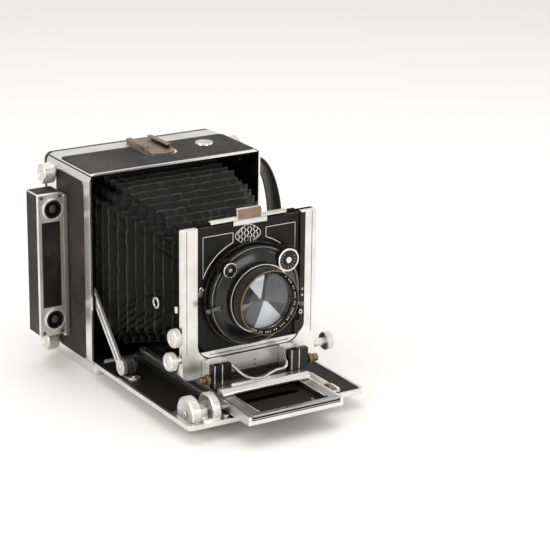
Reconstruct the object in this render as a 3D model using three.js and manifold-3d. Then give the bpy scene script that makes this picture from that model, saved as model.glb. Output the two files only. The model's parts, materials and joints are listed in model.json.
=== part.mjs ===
// A folding press camera for 9 x 12 cm plates, opened for use.
// Millimetres, +Z up, +Y towards the back, +X to the right of someone who looks at the lens.
// The origin is on the underside of the base block, under the middle of the body.
import * as THREE from "three";
import { mergeVertices } from "three/addons/utils/BufferGeometryUtils.js";
import Module from "manifold-3d";

const wasm = await Module();
wasm.setup();

// ---------------------------------------------------------------- clearances
const GAP = 0.3; // between faces that rest on each other
const SLIP = 0.5; // between pieces that slide or turn

// -------------------------------------------------------- driving dimensions
const BASE = {
  height: 10,
  sideInset: 4,
  frontInset: 2,
  backInset: 6,
  corner: 5,
  socketRadius: 4.8,
  socketDepth: 7,
  socketBack: 20,
};
const BODY = {
  width: 168,
  height: 172,
  depth: 80,
  wall: 3.2,
  corner: 7,
  innerCorner: 4,
  gatePlateFromBack: 20,
  gatePlate: 4,
  gateWidth: 122,
  gateHeight: 122,
};
const LEATHER = {
  thickness: 0.8,
  recess: 0.8,
  corner: 5,
  rearBand: 18,
  topFront: 3,
  topSide: 3.5,
  sideFront: 11,
  sideBottom: 3,
  sideTop: 9,
};
const SHOE = {
  x: 4,
  width: 26,
  front: -14,
  back: 35,
  plate: 1.2,
  railHeight: 4.2,
  railLip: 5,
  rail: 1.2,
  frontRound: 11,
  railFront: 14,
  margin: 2,
};
const BUTTON = {
  x: 50.7,
  y: 1,
  radius: 8.2,
  flange: 1.4,
  proud: 2,
  travel: 2,
  stem: 2,
};
const STRAP = {
  y: -21,
  width: 22,
  thickness: 3.2,
  bow: 25,
  bowShape: 0.5, // below 1, the ends leave the side steeply
  topDrop: 4,
  bottomRise: 24,
  tab: 6,
};
const FINDER = {
  railThickness: 4.6,
  railFront: 0,
  railBack: 20,
  railRise: 17, // of its lower end above the body's bottom
  railDrop: 27, // of its upper end below the body's top
  width: 23.7,
  front: -1,
  back: 22,
  rise: 20,
  drop: 24,
  wall: 2,
  frontPlate: 1.5,
  windowInset: 13.6,
  windowRadius: 6.8,
  bezel: 2.2,
  bezelProud: 1.5,
  glass: 1.6,
  eyecupRadius: 9.5,
  eyecupDepth: 7,
  eyecupBore: 4,
};
const BACK_KNOB = {
  radius: 8.8,
  length: 11,
  neckRadius: 4.2,
  neck: 2.4,
  shaftRadius: 2,
};
const BACK = {
  rodRadius: 2.5,
  rodFromSide: 6.5,
  rodFromTop: 13,
  rodFromBottom: 6.5,
  rodLength: 60,
  inset: 0.5,
  plate: 5.7,
  ringRadius: 70,
  frameHalf: 66,
  frame: 5.5,
  pictureWidth: 118,
  pictureHeight: 93,
  glass: 2,
  hoodWidth: 124,
  hoodHeight: 100,
  hoodDepth: 7.5,
  hoodWall: 1.6,
  hoodCorner: 5,
};
const BED = {
  length: 168.7,
  thickness: 4,
  lift: 1.5,
  corner: 5,
  rim: 2.3,
  recess: 0.9,
  hingeRadius: 2.6,
  hingeForward: 3,
  pinRadius: 1.2,
  rearGap: 1.3, // from the body's front to the plate
  lugWidth: 6,
  lugInset: 3,
  footForward: 100,
  footRadius: 12,
  footSocket: 3.3,
  footSocketDepth: 8,
};
const STRUT = {
  inset: 3.6,
  thickness: 2.6,
  width: 8,
  pivotForward: 45,
  pivotHeight: 24,
  topBack: 6,
  topHeight: 77,
  discRadius: 7,
  pinRadius: 2,
  pinLength: 1.6,
  dropTravel: 11.2,
  hubRadius: 8,
  hubWidth: 9.5,
  footForward: 55,
  footRadius: 5.5,
  footThickness: 2,
};
const WHEEL = {
  forward: 150,
  height: 18,
  radius: 14.5,
  outerFromSide: 7,
  outerWidth: 9,
  innerFromSide: 26.5,
  innerWidth: 7.5,
  shaftRadius: 2.5,
  cutMargin: 1,
  bearingWidth: 7.5,
  bearingHeight: 4,
};
const GEAR = {
  module: 0.75,
  teeth: 12,
  width: 4,
  tooth: 0.6,
  rootClearance: 0.35,
  rootShare: 0.27, // half of a tooth at its root, as a share of the pitch
  tipShare: 0.12,
  rackTipShare: 0.13,
  rackStart: 100,
  rackTeeth: 28,
};
const TRACK = {
  height: 17.8,
  lowerPlate: 3.6,
  halfWidth: 42,
  flange: 3,
  flangeHeight: 7.4,
  rearForward: 14,
  frontForward: 197,
  slotHalfLength: 28,
  slotForward: 155,
  slotWidth: 14,
  upperThickness: 4.1,
  rail: 8,
  frontBar: 4.5,
  rearBar: 10,
  groove: 0.8,
  grooveWidth: 1.4,
  lipThickness: 2,
  guideWidth: 3.5,
  guideHeight: 6,
  guideRear: 12,
  guideFront: 138,
};
const STOP = {
  x: 54,
  radius: 4,
  rear: 131,
  front: 157,
  plateWidth: 13,
  plateFront: 166,
  plateThickness: 1.6,
};
const CARRIAGE = {
  rearForward: 72,
  frontForward: 152,
  halfWidth: 41,
  plate: 3,
  bar: 10.5,
  barHeight: 5.5,
  barSlope: 3.5,
  guideWall: 6,
  guideHeight: 16,
  padHeight: 3.6,
};
const CLAMP = {
  x: 37,
  width: 18,
  height: 20.2,
  pivotHeight: 46.5,
  pivotForward: 134,
  pivotDepth: 3,
  screwHeight: 38.4,
  screwForward: 138,
  screwDisc: 4.4,
  screwDiscWidth: 3.4,
  screwBody: 3.4,
  screwBodyWidth: 5.6,
  screwPin: 1.2,
  screwPinLength: 1.4,
};
const BAIL = {
  wire: 1.2,
  dipForward: 147,
  dipHeight: 34.2,
  dipHalf: 13,
  sideHalf: 21,
};
const FRAME = {
  forward: 123,
  thickness: 9,
  halfWidth: 64,
  innerHalf: 49.3,
  bottom: 34,
  sill: 49,
  top: 163,
  corner: 5,
  innerCorner: 14,
  grooveWidth: 2.7,
  grooveDepth: 3,
  grooveFromBack: 1.5,
  knobForward: 119.5,
  boreRadius: 2.3,
  shaftRadius: 1.8,
};
const KNOB = {
  radius: 7.9,
  thickness: 7,
  riseHeight: 72,
  riseShaft: 1,
  shiftHeight: 52.4,
  shiftShaft: 5,
  sideHeight: 43,
  sideShaft: 10.5,
  hubRadius: 3.4,
};
const LENS = {
  height: 101,
};
const PANEL = {
  bar: 6,
  border: 11,
  thickness: 7.5,
  openingHalf: 36,
  tongueDepth: 2.5,
  tongueWidth: 1.7,
};
const BOARD = {
  thickness: 3.5,
  setBack: 1.5,
  inset: 0.8,
  corner: 11,
  hole: 23.6,
};
const CATCH = {
  halfLength: 36,
  height: 2.7,
  depth: 4,
  bracketHalf: 11,
  bracketHeight: 7,
  lipHalf: 16,
  lipDrop: 3.5,
  lipThickness: 1,
  travel: 4,
};
const SHUTTER = {
  radius: 42,
  depth: 10.4,
  rearDepth: 4.2,
  bore: 24,
  chamfer: 2,
  speedX: 28.5,
  speedZ: 27,
  speedRadius: 10,
  modeX: -26.8,
  modeZ: 27,
  modeRadius: 6.5,
  dialDepth: 4.2,
  ear: 1.8,
  ringWidth: 2,
  pointerReach: 4.5,
  pointerWidth: 3,
  leverRadius: 35.5,
  leverReach: 10.5,
  leverWidth: 4,
  leverThickness: 1.6,
  cockingAngle: -18,
  releaseAngle: 187,
  irisHole: 13,
  irisThickness: 1,
};
const BARREL = {
  radius: 27.5,
  length: 22.2,
  wall: 3,
  seat: 7,
  seatRadius: 17,
  glassDepth: 9,
  glassBulge: 4.5,
  rearRadius: 22.8,
  rearLength: 20,
  rearWall: 2.6,
  nutWidth: 3,
  nutRadius: 27,
};
const BELLOWS = {
  wall: 1.6,
  rearFromSide: 9.8, // from the body's inner faces
  rearFromTop: 6.8,
  rearFromBottom: 10.8,
  mouthFromSide: 11.8,
  mouthFromTop: 10.8,
  mouthFromBottom: 13.8,
  mouthForward: 4,
  frontHalf: 40,
  chamfer: 14,
};

// ------------------------------------------------------------ derived places
const halfBody = BODY.width / 2;
const bodyFront = -BODY.depth / 2;
const bodyBack = BODY.depth / 2;
const bodyBottom = BASE.height;
const bodyTop = BASE.height + BODY.height;
const bodyMiddle = (bodyBottom + bodyTop) / 2;
const wallInside = halfBody - BODY.wall;
const ceiling = bodyTop - BODY.wall;
const gateFront = bodyBack - BODY.gatePlateFromBack;
const ahead = (distance) => bodyFront - distance; // a place in front of the body
const finderRailBottom = bodyBottom + FINDER.railRise;
const finderRailTop = bodyTop - FINDER.railDrop;
const finderBottom = bodyBottom + FINDER.rise;
const finderTop = bodyTop - FINDER.drop;
const bedBottom = bodyBottom + BED.lift;
const bedTop = bedBottom + BED.thickness;
const bedFloor = bedTop - BED.recess;
const bedFront = ahead(BED.length + BED.hingeForward - BED.hingeRadius + GAP + 1);
const hingeY = ahead(BED.hingeForward);
const hingeZ = (bedBottom + bedTop) / 2;
const strutOuter = wallInside - SLIP + 0.1;
const lowerTop = TRACK.height + TRACK.lowerPlate;
const upperBottom = lowerTop + SLIP;
const upperTop = upperBottom + TRACK.upperThickness;
const upperHalf = TRACK.halfWidth - SLIP;
const railInner = upperHalf - TRACK.rail;
const deckBottom = upperTop + SLIP;
const deckTop = deckBottom + CARRIAGE.plate;
const frameFront = ahead(FRAME.forward);
const frameBack = frameFront + FRAME.thickness;
const knobY = ahead(FRAME.knobForward);
const boardFront = frameFront + BOARD.setBack;
const boardBack = boardFront + BOARD.thickness;
const panelFront = boardBack + GAP;
const panelBack = panelFront + PANEL.thickness;
const panelHalf = FRAME.innerHalf - SLIP;
const panelBottom = FRAME.sill + 1;
const boardBottom = panelBottom + PANEL.bar + GAP;
const caseBack = boardFront - GAP;
const caseFront = caseBack - SHUTTER.depth;
const carriageBack = bodyBack + GAP;

// ------------------------------------------------------------------- finishes
const finish = (color, metalness, roughness) =>
  new THREE.MeshStandardMaterial({ color, metalness, roughness });
const silver = finish(0xc9c8c4, 1, 0.38);
const nickel = finish(0xd8d4c8, 1, 0.22);
const brass = finish(0x8a6a3e, 1, 0.4);
const leather = finish(0x4a4641, 0, 0.75);
const cloth = finish(0x1d1d20, 0, 0.8);
const blackMetal = finish(0x141415, 0.4, 0.45);
const steel = finish(0x9a9a98, 1, 0.3);
const glass = finish(0x30343c, 0, 0.05);

// -------------------------------------------------------------- shape helpers
function solid(geometry) {
  const bare = geometry.clone();
  bare.deleteAttribute("normal");
  bare.deleteAttribute("uv");
  const merged = mergeVertices(bare, 1e-4);
  const mesh = new wasm.Mesh({
    numProp: 3,
    vertProperties: new Float32Array(merged.attributes.position.array),
    triVerts: new Uint32Array(merged.index.array),
  });
  return new wasm.Manifold(mesh);
}

function surface(made) {
  const mesh = made.getMesh();
  const geometry = new THREE.BufferGeometry();
  geometry.setAttribute("position", new THREE.BufferAttribute(mesh.vertProperties, 3));
  geometry.setIndex(new THREE.BufferAttribute(mesh.triVerts, 1));
  const flat = geometry.toNonIndexed();
  flat.computeVertexNormals();
  return flat;
}

const join = (...pieces) => pieces.reduce((whole, piece) => whole.add(piece));
const cut = (whole, ...pieces) => pieces.reduce((left, piece) => left.subtract(piece), whole);

// A block between two opposite corners.
function block(x0, x1, y0, y1, z0, z1) {
  const geometry = new THREE.BoxGeometry(x1 - x0, y1 - y0, z1 - z0);
  geometry.translate((x0 + x1) / 2, (y0 + y1) / 2, (z0 + z1) / 2);
  return solid(geometry);
}

// A round bar along an axis, from one end to the other.
function bar(axis, from, to, a, b, radius, sides = 24) {
  const geometry = new THREE.CylinderGeometry(radius, radius, to - from, sides);
  const middle = (from + to) / 2;
  if (axis === "x") geometry.rotateZ(Math.PI / 2).translate(middle, a, b);
  if (axis === "y") geometry.translate(a, middle, b);
  if (axis === "z") geometry.rotateX(Math.PI / 2).translate(a, b, middle);
  return solid(geometry);
}

// An outline drawn in (x, z), with a depth from y0 to y1.
function alongY(outline, y0, y1, curveSegments = 5) {
  const geometry = new THREE.ExtrudeGeometry(outline, {
    depth: y1 - y0,
    bevelEnabled: false,
    curveSegments,
  });
  geometry.rotateX(Math.PI / 2).translate(0, y1, 0);
  return solid(geometry);
}

// An outline drawn in (y, z), from x0 to x1.
function alongX(outline, x0, x1, curveSegments = 5) {
  const geometry = new THREE.ExtrudeGeometry(outline, {
    depth: x1 - x0,
    bevelEnabled: false,
    curveSegments,
  });
  const turn = new THREE.Matrix4().makeBasis(
    new THREE.Vector3(0, 1, 0),
    new THREE.Vector3(0, 0, 1),
    new THREE.Vector3(1, 0, 0),
  );
  geometry.applyMatrix4(turn).translate(x0, 0, 0);
  return solid(geometry);
}

// An outline drawn in (x, y), from z0 to z1.
function alongZ(outline, z0, z1, curveSegments = 5) {
  const geometry = new THREE.ExtrudeGeometry(outline, {
    depth: z1 - z0,
    bevelEnabled: false,
    curveSegments,
  });
  geometry.translate(0, 0, z0);
  return solid(geometry);
}

// A rectangle with rounded corners: radii are bottom-left, bottom-right, top-right, top-left.
function rounded(u0, u1, v0, v1, radii) {
  const [bl, br, tr, tl] = Array.isArray(radii) ? radii : [radii, radii, radii, radii];
  const outline = new THREE.Shape();
  outline.moveTo(u0 + bl, v0);
  outline.lineTo(u1 - br, v0);
  if (br) outline.absarc(u1 - br, v0 + br, br, -Math.PI / 2, 0);
  outline.lineTo(u1, v1 - tr);
  if (tr) outline.absarc(u1 - tr, v1 - tr, tr, 0, Math.PI / 2);
  outline.lineTo(u0 + tl, v1);
  if (tl) outline.absarc(u0 + tl, v1 - tl, tl, Math.PI / 2, Math.PI);
  outline.lineTo(u0, v0 + bl);
  if (bl) outline.absarc(u0 + bl, v0 + bl, bl, Math.PI, Math.PI * 1.5);
  return outline;
}

function polygon(points) {
  return new THREE.Shape(points.map(([u, v]) => new THREE.Vector2(u, v)));
}

// A turned piece about an axis along Y: the profile lists (radius, y) and closes on itself.
function turned(profile, x, z, sides = 48) {
  const points = [...profile, profile[0]].map(([r, y]) => new THREE.Vector2(r, y));
  const geometry = new THREE.LatheGeometry(points, sides);
  geometry.translate(x, 0, z);
  return solid(geometry);
}

// -------------------------------------------------------------- the scene graph
const camera = new THREE.Group();
camera.name = "press_camera";

function assembly(name, parent = camera) {
  const group = new THREE.Group();
  group.name = name;
  parent.add(group);
  return group;
}

function add(group, name, made, material, place = [0, 0, 0]) {
  const mesh = new THREE.Mesh(surface(made), material);
  mesh.name = name;
  mesh.position.set(...place);
  group.add(mesh);
}

const housing = assembly("body_assembly");
const bed = assembly("bed_assembly");
const standard = assembly("standard_assembly");
const rear = assembly("back_assembly");
const SIDES = [
  ["left", -1],
  ["right", 1],
];

// A span of x measured outwards from the middle, on one side of the camera.
const sideSpan = (sign, inner, outer) => (sign < 0 ? [-outer, -inner] : [inner, outer]);

// ------------------------------------------------------------------------ body
const shoeLeft = SHOE.x - SHOE.width / 2;
const shoeRight = SHOE.x + SHOE.width / 2;
const leatherBack = bodyBack - LEATHER.rearBand;
const rodX = halfBody - BACK.rodFromSide;
const rodHeights = {
  upper: bodyTop - BACK.rodFromTop,
  lower: bodyBottom + BACK.rodFromBottom,
};
const rodY = leatherBack + 2;

// The leather's outline on the top, seen from above, with a notch round the shoe.
function topLeatherOutline(grow) {
  const outline = rounded(
    -halfBody + LEATHER.topSide - grow,
    halfBody - LEATHER.topSide + grow,
    bodyFront + LEATHER.topFront - grow,
    leatherBack + grow,
    LEATHER.corner,
  );
  return outline;
}

function shoeNotch(grow) {
  return rounded(
    shoeLeft - SHOE.margin + grow,
    shoeRight + SHOE.margin - grow,
    SHOE.front - SHOE.margin + grow,
    leatherBack + 1,
    [SHOE.frontRound - grow, SHOE.frontRound - grow, 0, 0],
  );
}

function sideLeatherOutline(grow) {
  return rounded(
    bodyFront + LEATHER.sideFront - grow,
    leatherBack + grow,
    bodyBottom + LEATHER.sideBottom - grow,
    bodyTop - LEATHER.sideTop + grow,
    LEATHER.corner,
  );
}

const buttonHole = (radius) => bar("z", ceiling - 8, bodyTop + 8, BUTTON.x, BUTTON.y, radius);
const rodPlaces = SIDES.flatMap(([, sign]) => [
  [sign * rodX, rodHeights.upper],
  [sign * rodX, rodHeights.lower],
]);

function strutSlot(sign) {
  const [x0, x1] = sideSpan(sign, wallInside - 1, wallInside + STRUT.pinLength);
  return block(
    x0,
    x1,
    bodyFront + STRUT.topBack - STRUT.pinRadius - SLIP - 1,
    bodyFront + STRUT.topBack + STRUT.pinRadius + SLIP,
    STRUT.topHeight - STRUT.dropTravel - STRUT.pinRadius - SLIP,
    STRUT.topHeight + STRUT.pinRadius + SLIP,
  );
}

const lugInner = halfBody - BED.lugInset - BED.lugWidth;
const lugOuter = halfBody - BED.lugInset;

function hingeLug(sign) {
  const [x0, x1] = sideSpan(sign, lugInner, lugOuter);
  return join(
    bar("x", x0, x1, hingeY, hingeZ, BED.hingeRadius, 16),
    block(x0, x1, hingeY, bodyFront + 1, hingeZ - BED.hingeRadius + 0.4, hingeZ + 1),
  );
}

function bodyShell() {
  const outer = alongY(
    rounded(-halfBody, halfBody, bodyBottom, bodyTop, BODY.corner),
    bodyFront,
    bodyBack,
  );
  const inside = rounded(
    -wallInside,
    wallInside,
    bodyBottom + BODY.wall,
    ceiling,
    BODY.innerCorner,
  );
  const gate = block(
    -BODY.gateWidth / 2,
    BODY.gateWidth / 2,
    gateFront - 1,
    gateFront + BODY.gatePlate + 1,
    bodyMiddle - BODY.gateHeight / 2,
    bodyMiddle + BODY.gateHeight / 2,
  );
  const recessTop = cut(
    alongZ(topLeatherOutline(GAP), bodyTop - LEATHER.recess, bodyTop + 1),
    alongZ(shoeNotch(GAP), bodyTop - 2, bodyTop + 2),
  );
  const recessSides = SIDES.map(([, sign]) => {
    const [x0, x1] = sideSpan(sign, halfBody - LEATHER.recess, halfBody + 1);
    return alongX(sideLeatherOutline(GAP), x0, x1);
  });
  const rodHoles = rodPlaces.map(([x, z]) =>
    bar("y", gateFront - 1, gateFront + BODY.gatePlate + 1, x, z, BACK.rodRadius + SLIP, 12),
  );
  const shaftHoles = SIDES.flatMap(([, sign]) =>
    Object.values(rodHeights).map((z) => {
      const [x0, x1] = sideSpan(sign, wallInside - 1, halfBody + 1);
      return bar("x", x0, x1, rodY, z, BACK_KNOB.shaftRadius + SLIP, 12);
    }),
  );
  const pinHole = bar("x", -halfBody, halfBody, hingeY, hingeZ, BED.pinRadius + GAP, 12);
  const shell = cut(
    outer,
    alongY(inside, bodyFront - 1, gateFront),
    alongY(inside, gateFront + BODY.gatePlate, bodyBack + 1),
    gate,
    recessTop,
    ...recessSides,
    ...rodHoles,
    ...shaftHoles,
    buttonHole(BUTTON.radius + SLIP),
    ...SIDES.map(([, sign]) => strutSlot(sign)),
  );
  return cut(join(shell, ...SIDES.map(([, sign]) => hingeLug(sign))), pinHole);
}
add(housing, "body_shell", bodyShell(), silver);

const topSkinFloor = bodyTop - LEATHER.recess + GAP;
const topSkin = cut(
  alongZ(topLeatherOutline(0), topSkinFloor, topSkinFloor + LEATHER.thickness),
  alongZ(shoeNotch(0), bodyTop - 2, bodyTop + 2),
  buttonHole(BUTTON.radius + SLIP + GAP),
);
add(housing, "top_leather", topSkin, leather);
const skinInner = halfBody - LEATHER.recess + GAP;
const skinOuter = skinInner + LEATHER.thickness;
for (const [side, sign] of SIDES) {
  const [x0, x1] = sideSpan(sign, skinInner, skinOuter);
  add(housing, side + "_leather", alongX(sideLeatherOutline(0), x0, x1), leather);
}

const baseBlock = cut(
  alongZ(
    rounded(
      -halfBody + BASE.sideInset,
      halfBody - BASE.sideInset,
      bodyFront + BASE.frontInset,
      bodyBack - BASE.backInset,
      BASE.corner,
    ),
    0,
    BASE.height - GAP,
  ),
  bar("z", -1, BASE.socketDepth, 0, BASE.socketBack, BASE.socketRadius, 16),
);
add(housing, "base_block", baseBlock, silver);

function accessoryShoe() {
  const bottom = bodyTop + GAP;
  const rail = (x0, x1, lip0, lip1) =>
    join(
      block(x0, x1, SHOE.front + SHOE.railFront, SHOE.back, bottom, bottom + SHOE.railHeight),
      block(
        lip0,
        lip1,
        SHOE.front + SHOE.railFront,
        SHOE.back,
        bottom + SHOE.railHeight - SHOE.rail,
        bottom + SHOE.railHeight,
      ),
    );
  const plate = alongZ(
    rounded(shoeLeft, shoeRight, SHOE.front, SHOE.back, [SHOE.frontRound, SHOE.frontRound, 0, 0]),
    bottom,
    bottom + SHOE.plate,
  );
  return join(
    plate,
    rail(shoeLeft, shoeLeft + SHOE.rail, shoeLeft, shoeLeft + SHOE.railLip),
    rail(shoeRight - SHOE.rail, shoeRight, shoeRight - SHOE.railLip, shoeRight),
  );
}
add(housing, "accessory_shoe", accessoryShoe(), brass);

// The button's flange stays under the wall, and its dome stands proud by more than its travel.
const buttonTop = topSkinFloor + LEATHER.thickness + BUTTON.proud;
const buttonFloor = ceiling - SLIP - BUTTON.travel;
const releaseButton = join(
  bar("z", buttonFloor - BUTTON.stem, buttonTop, BUTTON.x, BUTTON.y, BUTTON.radius - BUTTON.flange),
  bar("z", ceiling - SLIP, buttonTop - 0.6, BUTTON.x, BUTTON.y, BUTTON.radius),
  bar("z", buttonFloor, ceiling - SLIP, BUTTON.x, BUTTON.y, BUTTON.radius + BUTTON.flange),
);
add(housing, "release_button", releaseButton, nickel);

// The strap bows away from the side, with a flat tab at each end.
function handStrap() {
  const inner = skinOuter + GAP;
  const top = bodyTop - STRAP.topDrop;
  const bottom = bodyBottom + STRAP.bottomRise;
  const half = (top - bottom) / 2 - STRAP.tab;
  const middle = (top + bottom) / 2;
  const steps = 14;
  const reach = (t) => STRAP.bow * Math.pow(Math.cos((t * Math.PI) / 2), STRAP.bowShape);
  const heights = Array.from({ length: steps + 1 }, (_, i) => -1 + (2 * i) / steps);
  const outerLine = heights.map((t) => [inner + STRAP.thickness + reach(t), middle + t * half]);
  const innerLine = heights.map((t) => [
    inner + Math.max(0, reach(t) - 0.01),
    middle + t * (half - STRAP.thickness),
  ]);
  const outline = polygon([
    [inner, bottom],
    [inner + STRAP.thickness, bottom],
    ...outerLine,
    [inner + STRAP.thickness, top],
    [inner, top],
    ...innerLine.reverse(),
  ]);
  return alongY(outline, STRAP.y - STRAP.width / 2, STRAP.y + STRAP.width / 2);
}
add(housing, "hand_strap", handStrap(), leather);

// ----------------------------------------------------------------- rangefinder
const finderRailOuter = -skinOuter - GAP - FINDER.railThickness;
const finderRight = finderRailOuter - GAP;
const finderLeft = finderRight - FINDER.width;
const windowX = finderLeft + FINDER.windowInset;
const windowHeights = [finderBottom + FINDER.windowInset + 1, finderTop - FINDER.windowInset];
const finderRail = block(
  finderRailOuter,
  -skinOuter - GAP,
  FINDER.railFront,
  FINDER.railBack,
  finderRailBottom,
  finderRailTop,
);
add(housing, "rangefinder_rail", finderRail, silver);

const caseStart = FINDER.front + FINDER.frontPlate + GAP;
const finderCase = cut(
  block(finderLeft, finderRight, caseStart, FINDER.back, finderBottom, finderTop),
  block(
    finderLeft + FINDER.wall,
    finderRight - FINDER.wall,
    caseStart - 1,
    FINDER.back - FINDER.wall,
    finderBottom + FINDER.wall,
    finderTop - FINDER.wall,
  ),
  bar("y", caseStart, FINDER.back + 1, windowX, windowHeights[1], FINDER.eyecupBore, 16),
);
add(housing, "rangefinder_case", finderCase, leather);

const bezelFront = FINDER.front - FINDER.bezelProud;
const plateBack = FINDER.front + FINDER.frontPlate;
const finderFront = cut(
  join(
    block(finderLeft, finderRight, FINDER.front, plateBack, finderBottom, finderTop),
    ...windowHeights.map((z) =>
      bar("y", bezelFront, plateBack, windowX, z, FINDER.windowRadius + FINDER.bezel),
    ),
  ),
  ...windowHeights.map((z) =>
    bar("y", bezelFront - 1, plateBack + 1, windowX, z, FINDER.windowRadius),
  ),
);
add(housing, "rangefinder_front", finderFront, silver);
["lower_window", "upper_window"].forEach((name, i) => {
  const y0 = FINDER.front;
  const disc = bar(
    "y",
    y0,
    y0 + FINDER.glass,
    windowX,
    windowHeights[i],
    FINDER.windowRadius - GAP,
    20,
  );
  add(housing, name, disc, glass);
});
const eyecup = cut(
  bar(
    "y",
    FINDER.back + GAP,
    FINDER.back + GAP + FINDER.eyecupDepth,
    windowX - 1,
    windowHeights[1],
    FINDER.eyecupRadius,
  ),
  bar(
    "y",
    FINDER.back,
    FINDER.back + FINDER.eyecupDepth + 1,
    windowX,
    windowHeights[1],
    FINDER.eyecupBore,
    16,
  ),
);
add(housing, "eyepiece", eyecup, blackMetal);

// ------------------------------------------------------------- back lock knobs
// A fluted knob whose shaft runs through the wall and ends against a rod of the back.
function backKnob(sign) {
  const seat = skinOuter + GAP;
  const parts = [
    [rodX + BACK.rodRadius + GAP, seat + 1, BACK_KNOB.shaftRadius, 12],
    [seat, seat + BACK_KNOB.neck, BACK_KNOB.neckRadius, 16],
    [seat + BACK_KNOB.neck, seat + BACK_KNOB.neck + BACK_KNOB.length, BACK_KNOB.radius, 24],
  ];
  return join(
    ...parts.map(([near, far, radius, sides]) =>
      bar("x", ...sideSpan(sign, near, far), 0, 0, radius, sides),
    ),
  );
}
for (const [side, sign] of SIDES)
  for (const [level, z] of Object.entries(rodHeights))
    add(housing, `${level}_${side}_back_knob`, backKnob(sign), silver, [0, rodY, z]);

// --------------------------------------------------------------------- bellows
// A closed tube with chamfered corners, lofted from the film gate to the lens panel.
function bellowsTube() {
  const innerFloor = bodyBottom + BODY.wall;
  const rearHalf = wallInside - BELLOWS.rearFromSide;
  const sections = [
    [
      gateFront - GAP,
      rearHalf,
      innerFloor + BELLOWS.rearFromBottom,
      ceiling - BELLOWS.rearFromTop,
    ],
    [
      ahead(BELLOWS.mouthForward),
      wallInside - BELLOWS.mouthFromSide,
      innerFloor + BELLOWS.mouthFromBottom,
      ceiling - BELLOWS.mouthFromTop,
    ],
    [
      panelBack + GAP,
      BELLOWS.frontHalf,
      LENS.height - BELLOWS.frontHalf,
      LENS.height + BELLOWS.frontHalf,
    ],
  ];
  const ring = ([y, half, low, high], inset, extend) => {
    const w = half - inset;
    const c = (BELLOWS.chamfer * half) / rearHalf;
    const [z0, z1] = [low + inset, high - inset];
    const corners = [
      [-w + c, z0],
      [w - c, z0],
      [w, z0 + c],
      [w, z1 - c],
      [w - c, z1],
      [-w + c, z1],
      [-w, z1 - c],
      [-w, z0 + c],
    ];
    return corners.map(([x, z]) => [x, y + extend, z]);
  };
  const loft = (inset, extend) => {
    const rings = sections.map((s, i) => ring(s, inset, extend * (1 - i)));
    const points = rings.flat();
    const n = rings[0].length;
    const faces = [];
    for (let r = 0; r < rings.length - 1; r++)
      for (let i = 0; i < n; i++) {
        const j = (i + 1) % n;
        const [a, b, c, d] = [r * n + i, r * n + j, (r + 1) * n + j, (r + 1) * n + i];
        faces.push(a, b, c, a, c, d);
      }
    const last = (rings.length - 1) * n;
    for (let i = 1; i < n - 1; i++) {
      faces.push(0, i + 1, i);
      faces.push(last, last + i, last + i + 1);
    }
    const geometry = new THREE.BufferGeometry();
    geometry.setAttribute("position", new THREE.Float32BufferAttribute(points.flat(), 3));
    geometry.setIndex(faces);
    return solid(geometry);
  };
  return cut(loft(0, 0), loft(BELLOWS.wall, 1));
}
add(housing, "bellows", bellowsTube(), cloth);

// ------------------------------------------------------------------------- bed
const trackHalf = TRACK.halfWidth + TRACK.flange;
const wheelY = ahead(WHEEL.forward);
const outerWheel = [
  -halfBody + WHEEL.outerFromSide,
  -halfBody + WHEEL.outerFromSide + WHEEL.outerWidth,
];
const innerWheel = [
  -halfBody + WHEEL.innerFromSide,
  -halfBody + WHEEL.innerFromSide + WHEEL.innerWidth,
];
const pinionRadius = (GEAR.module * GEAR.teeth) / 2;
const pinionSpan = [innerWheel[1] + SLIP, innerWheel[1] + SLIP + GEAR.width];
const bearing = [
  (outerWheel[1] + innerWheel[0] - WHEEL.bearingWidth) / 2,
  (outerWheel[1] + innerWheel[0] + WHEEL.bearingWidth) / 2,
];

function bedPlate() {
  const rearEdge = ahead(BED.rearGap);
  const plate = alongZ(
    rounded(-halfBody, halfBody, bedFront, rearEdge, [BED.corner, BED.corner, 0.01, 0.01]),
    bedBottom,
    bedTop,
  );
  const floor = alongZ(
    rounded(
      -halfBody + BED.rim,
      halfBody - BED.rim,
      bedFront + BED.rim,
      hingeY - BED.hingeRadius,
      [BED.corner - 1, BED.corner - 1, 0.01, 0.01],
    ),
    bedFloor,
    bedTop + 1,
  );
  const lugNotches = SIDES.map(([, sign]) => {
    const [x0, x1] = sideSpan(sign, lugInner - SLIP, lugOuter + SLIP);
    return block(x0, x1, hingeY - BED.hingeRadius - SLIP, bodyFront, bedBottom - 1, bedTop + 1);
  });
  const wheelCut = ([x0, x1]) =>
    block(
      x0 - WHEEL.cutMargin,
      x1 + WHEEL.cutMargin,
      wheelY - WHEEL.radius - WHEEL.cutMargin,
      wheelY + WHEEL.radius + WHEEL.cutMargin,
      bedBottom - 1,
      bedTop + 1,
    );
  const pinionCut = block(
    innerWheel[1],
    pinionSpan[1] + WHEEL.cutMargin,
    wheelY - pinionRadius - 2,
    wheelY + pinionRadius + 2,
    bedBottom - 1,
    bedTop + 1,
  );
  const barrel = bar(
    "x",
    -lugInner + SLIP,
    lugInner - SLIP,
    hingeY,
    hingeZ,
    BED.hingeRadius,
    16,
  );
  const bearingBlock = block(
    bearing[0],
    bearing[1],
    wheelY - 6,
    wheelY + 6,
    bedFloor - 1,
    WHEEL.height + WHEEL.bearingHeight,
  );
  return cut(
    join(
      cut(plate, floor, ...lugNotches),
      barrel,
      bearingBlock,
    ),
    wheelCut(outerWheel),
    wheelCut(innerWheel),
    pinionCut,
    bar("x", -halfBody, halfBody, hingeY, hingeZ, BED.pinRadius + GAP, 12),
    bar("x", outerWheel[0], innerWheel[1], wheelY, WHEEL.height, WHEEL.shaftRadius + SLIP, 16),
  );
}
add(bed, "bed_plate", bedPlate(), silver);
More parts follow.
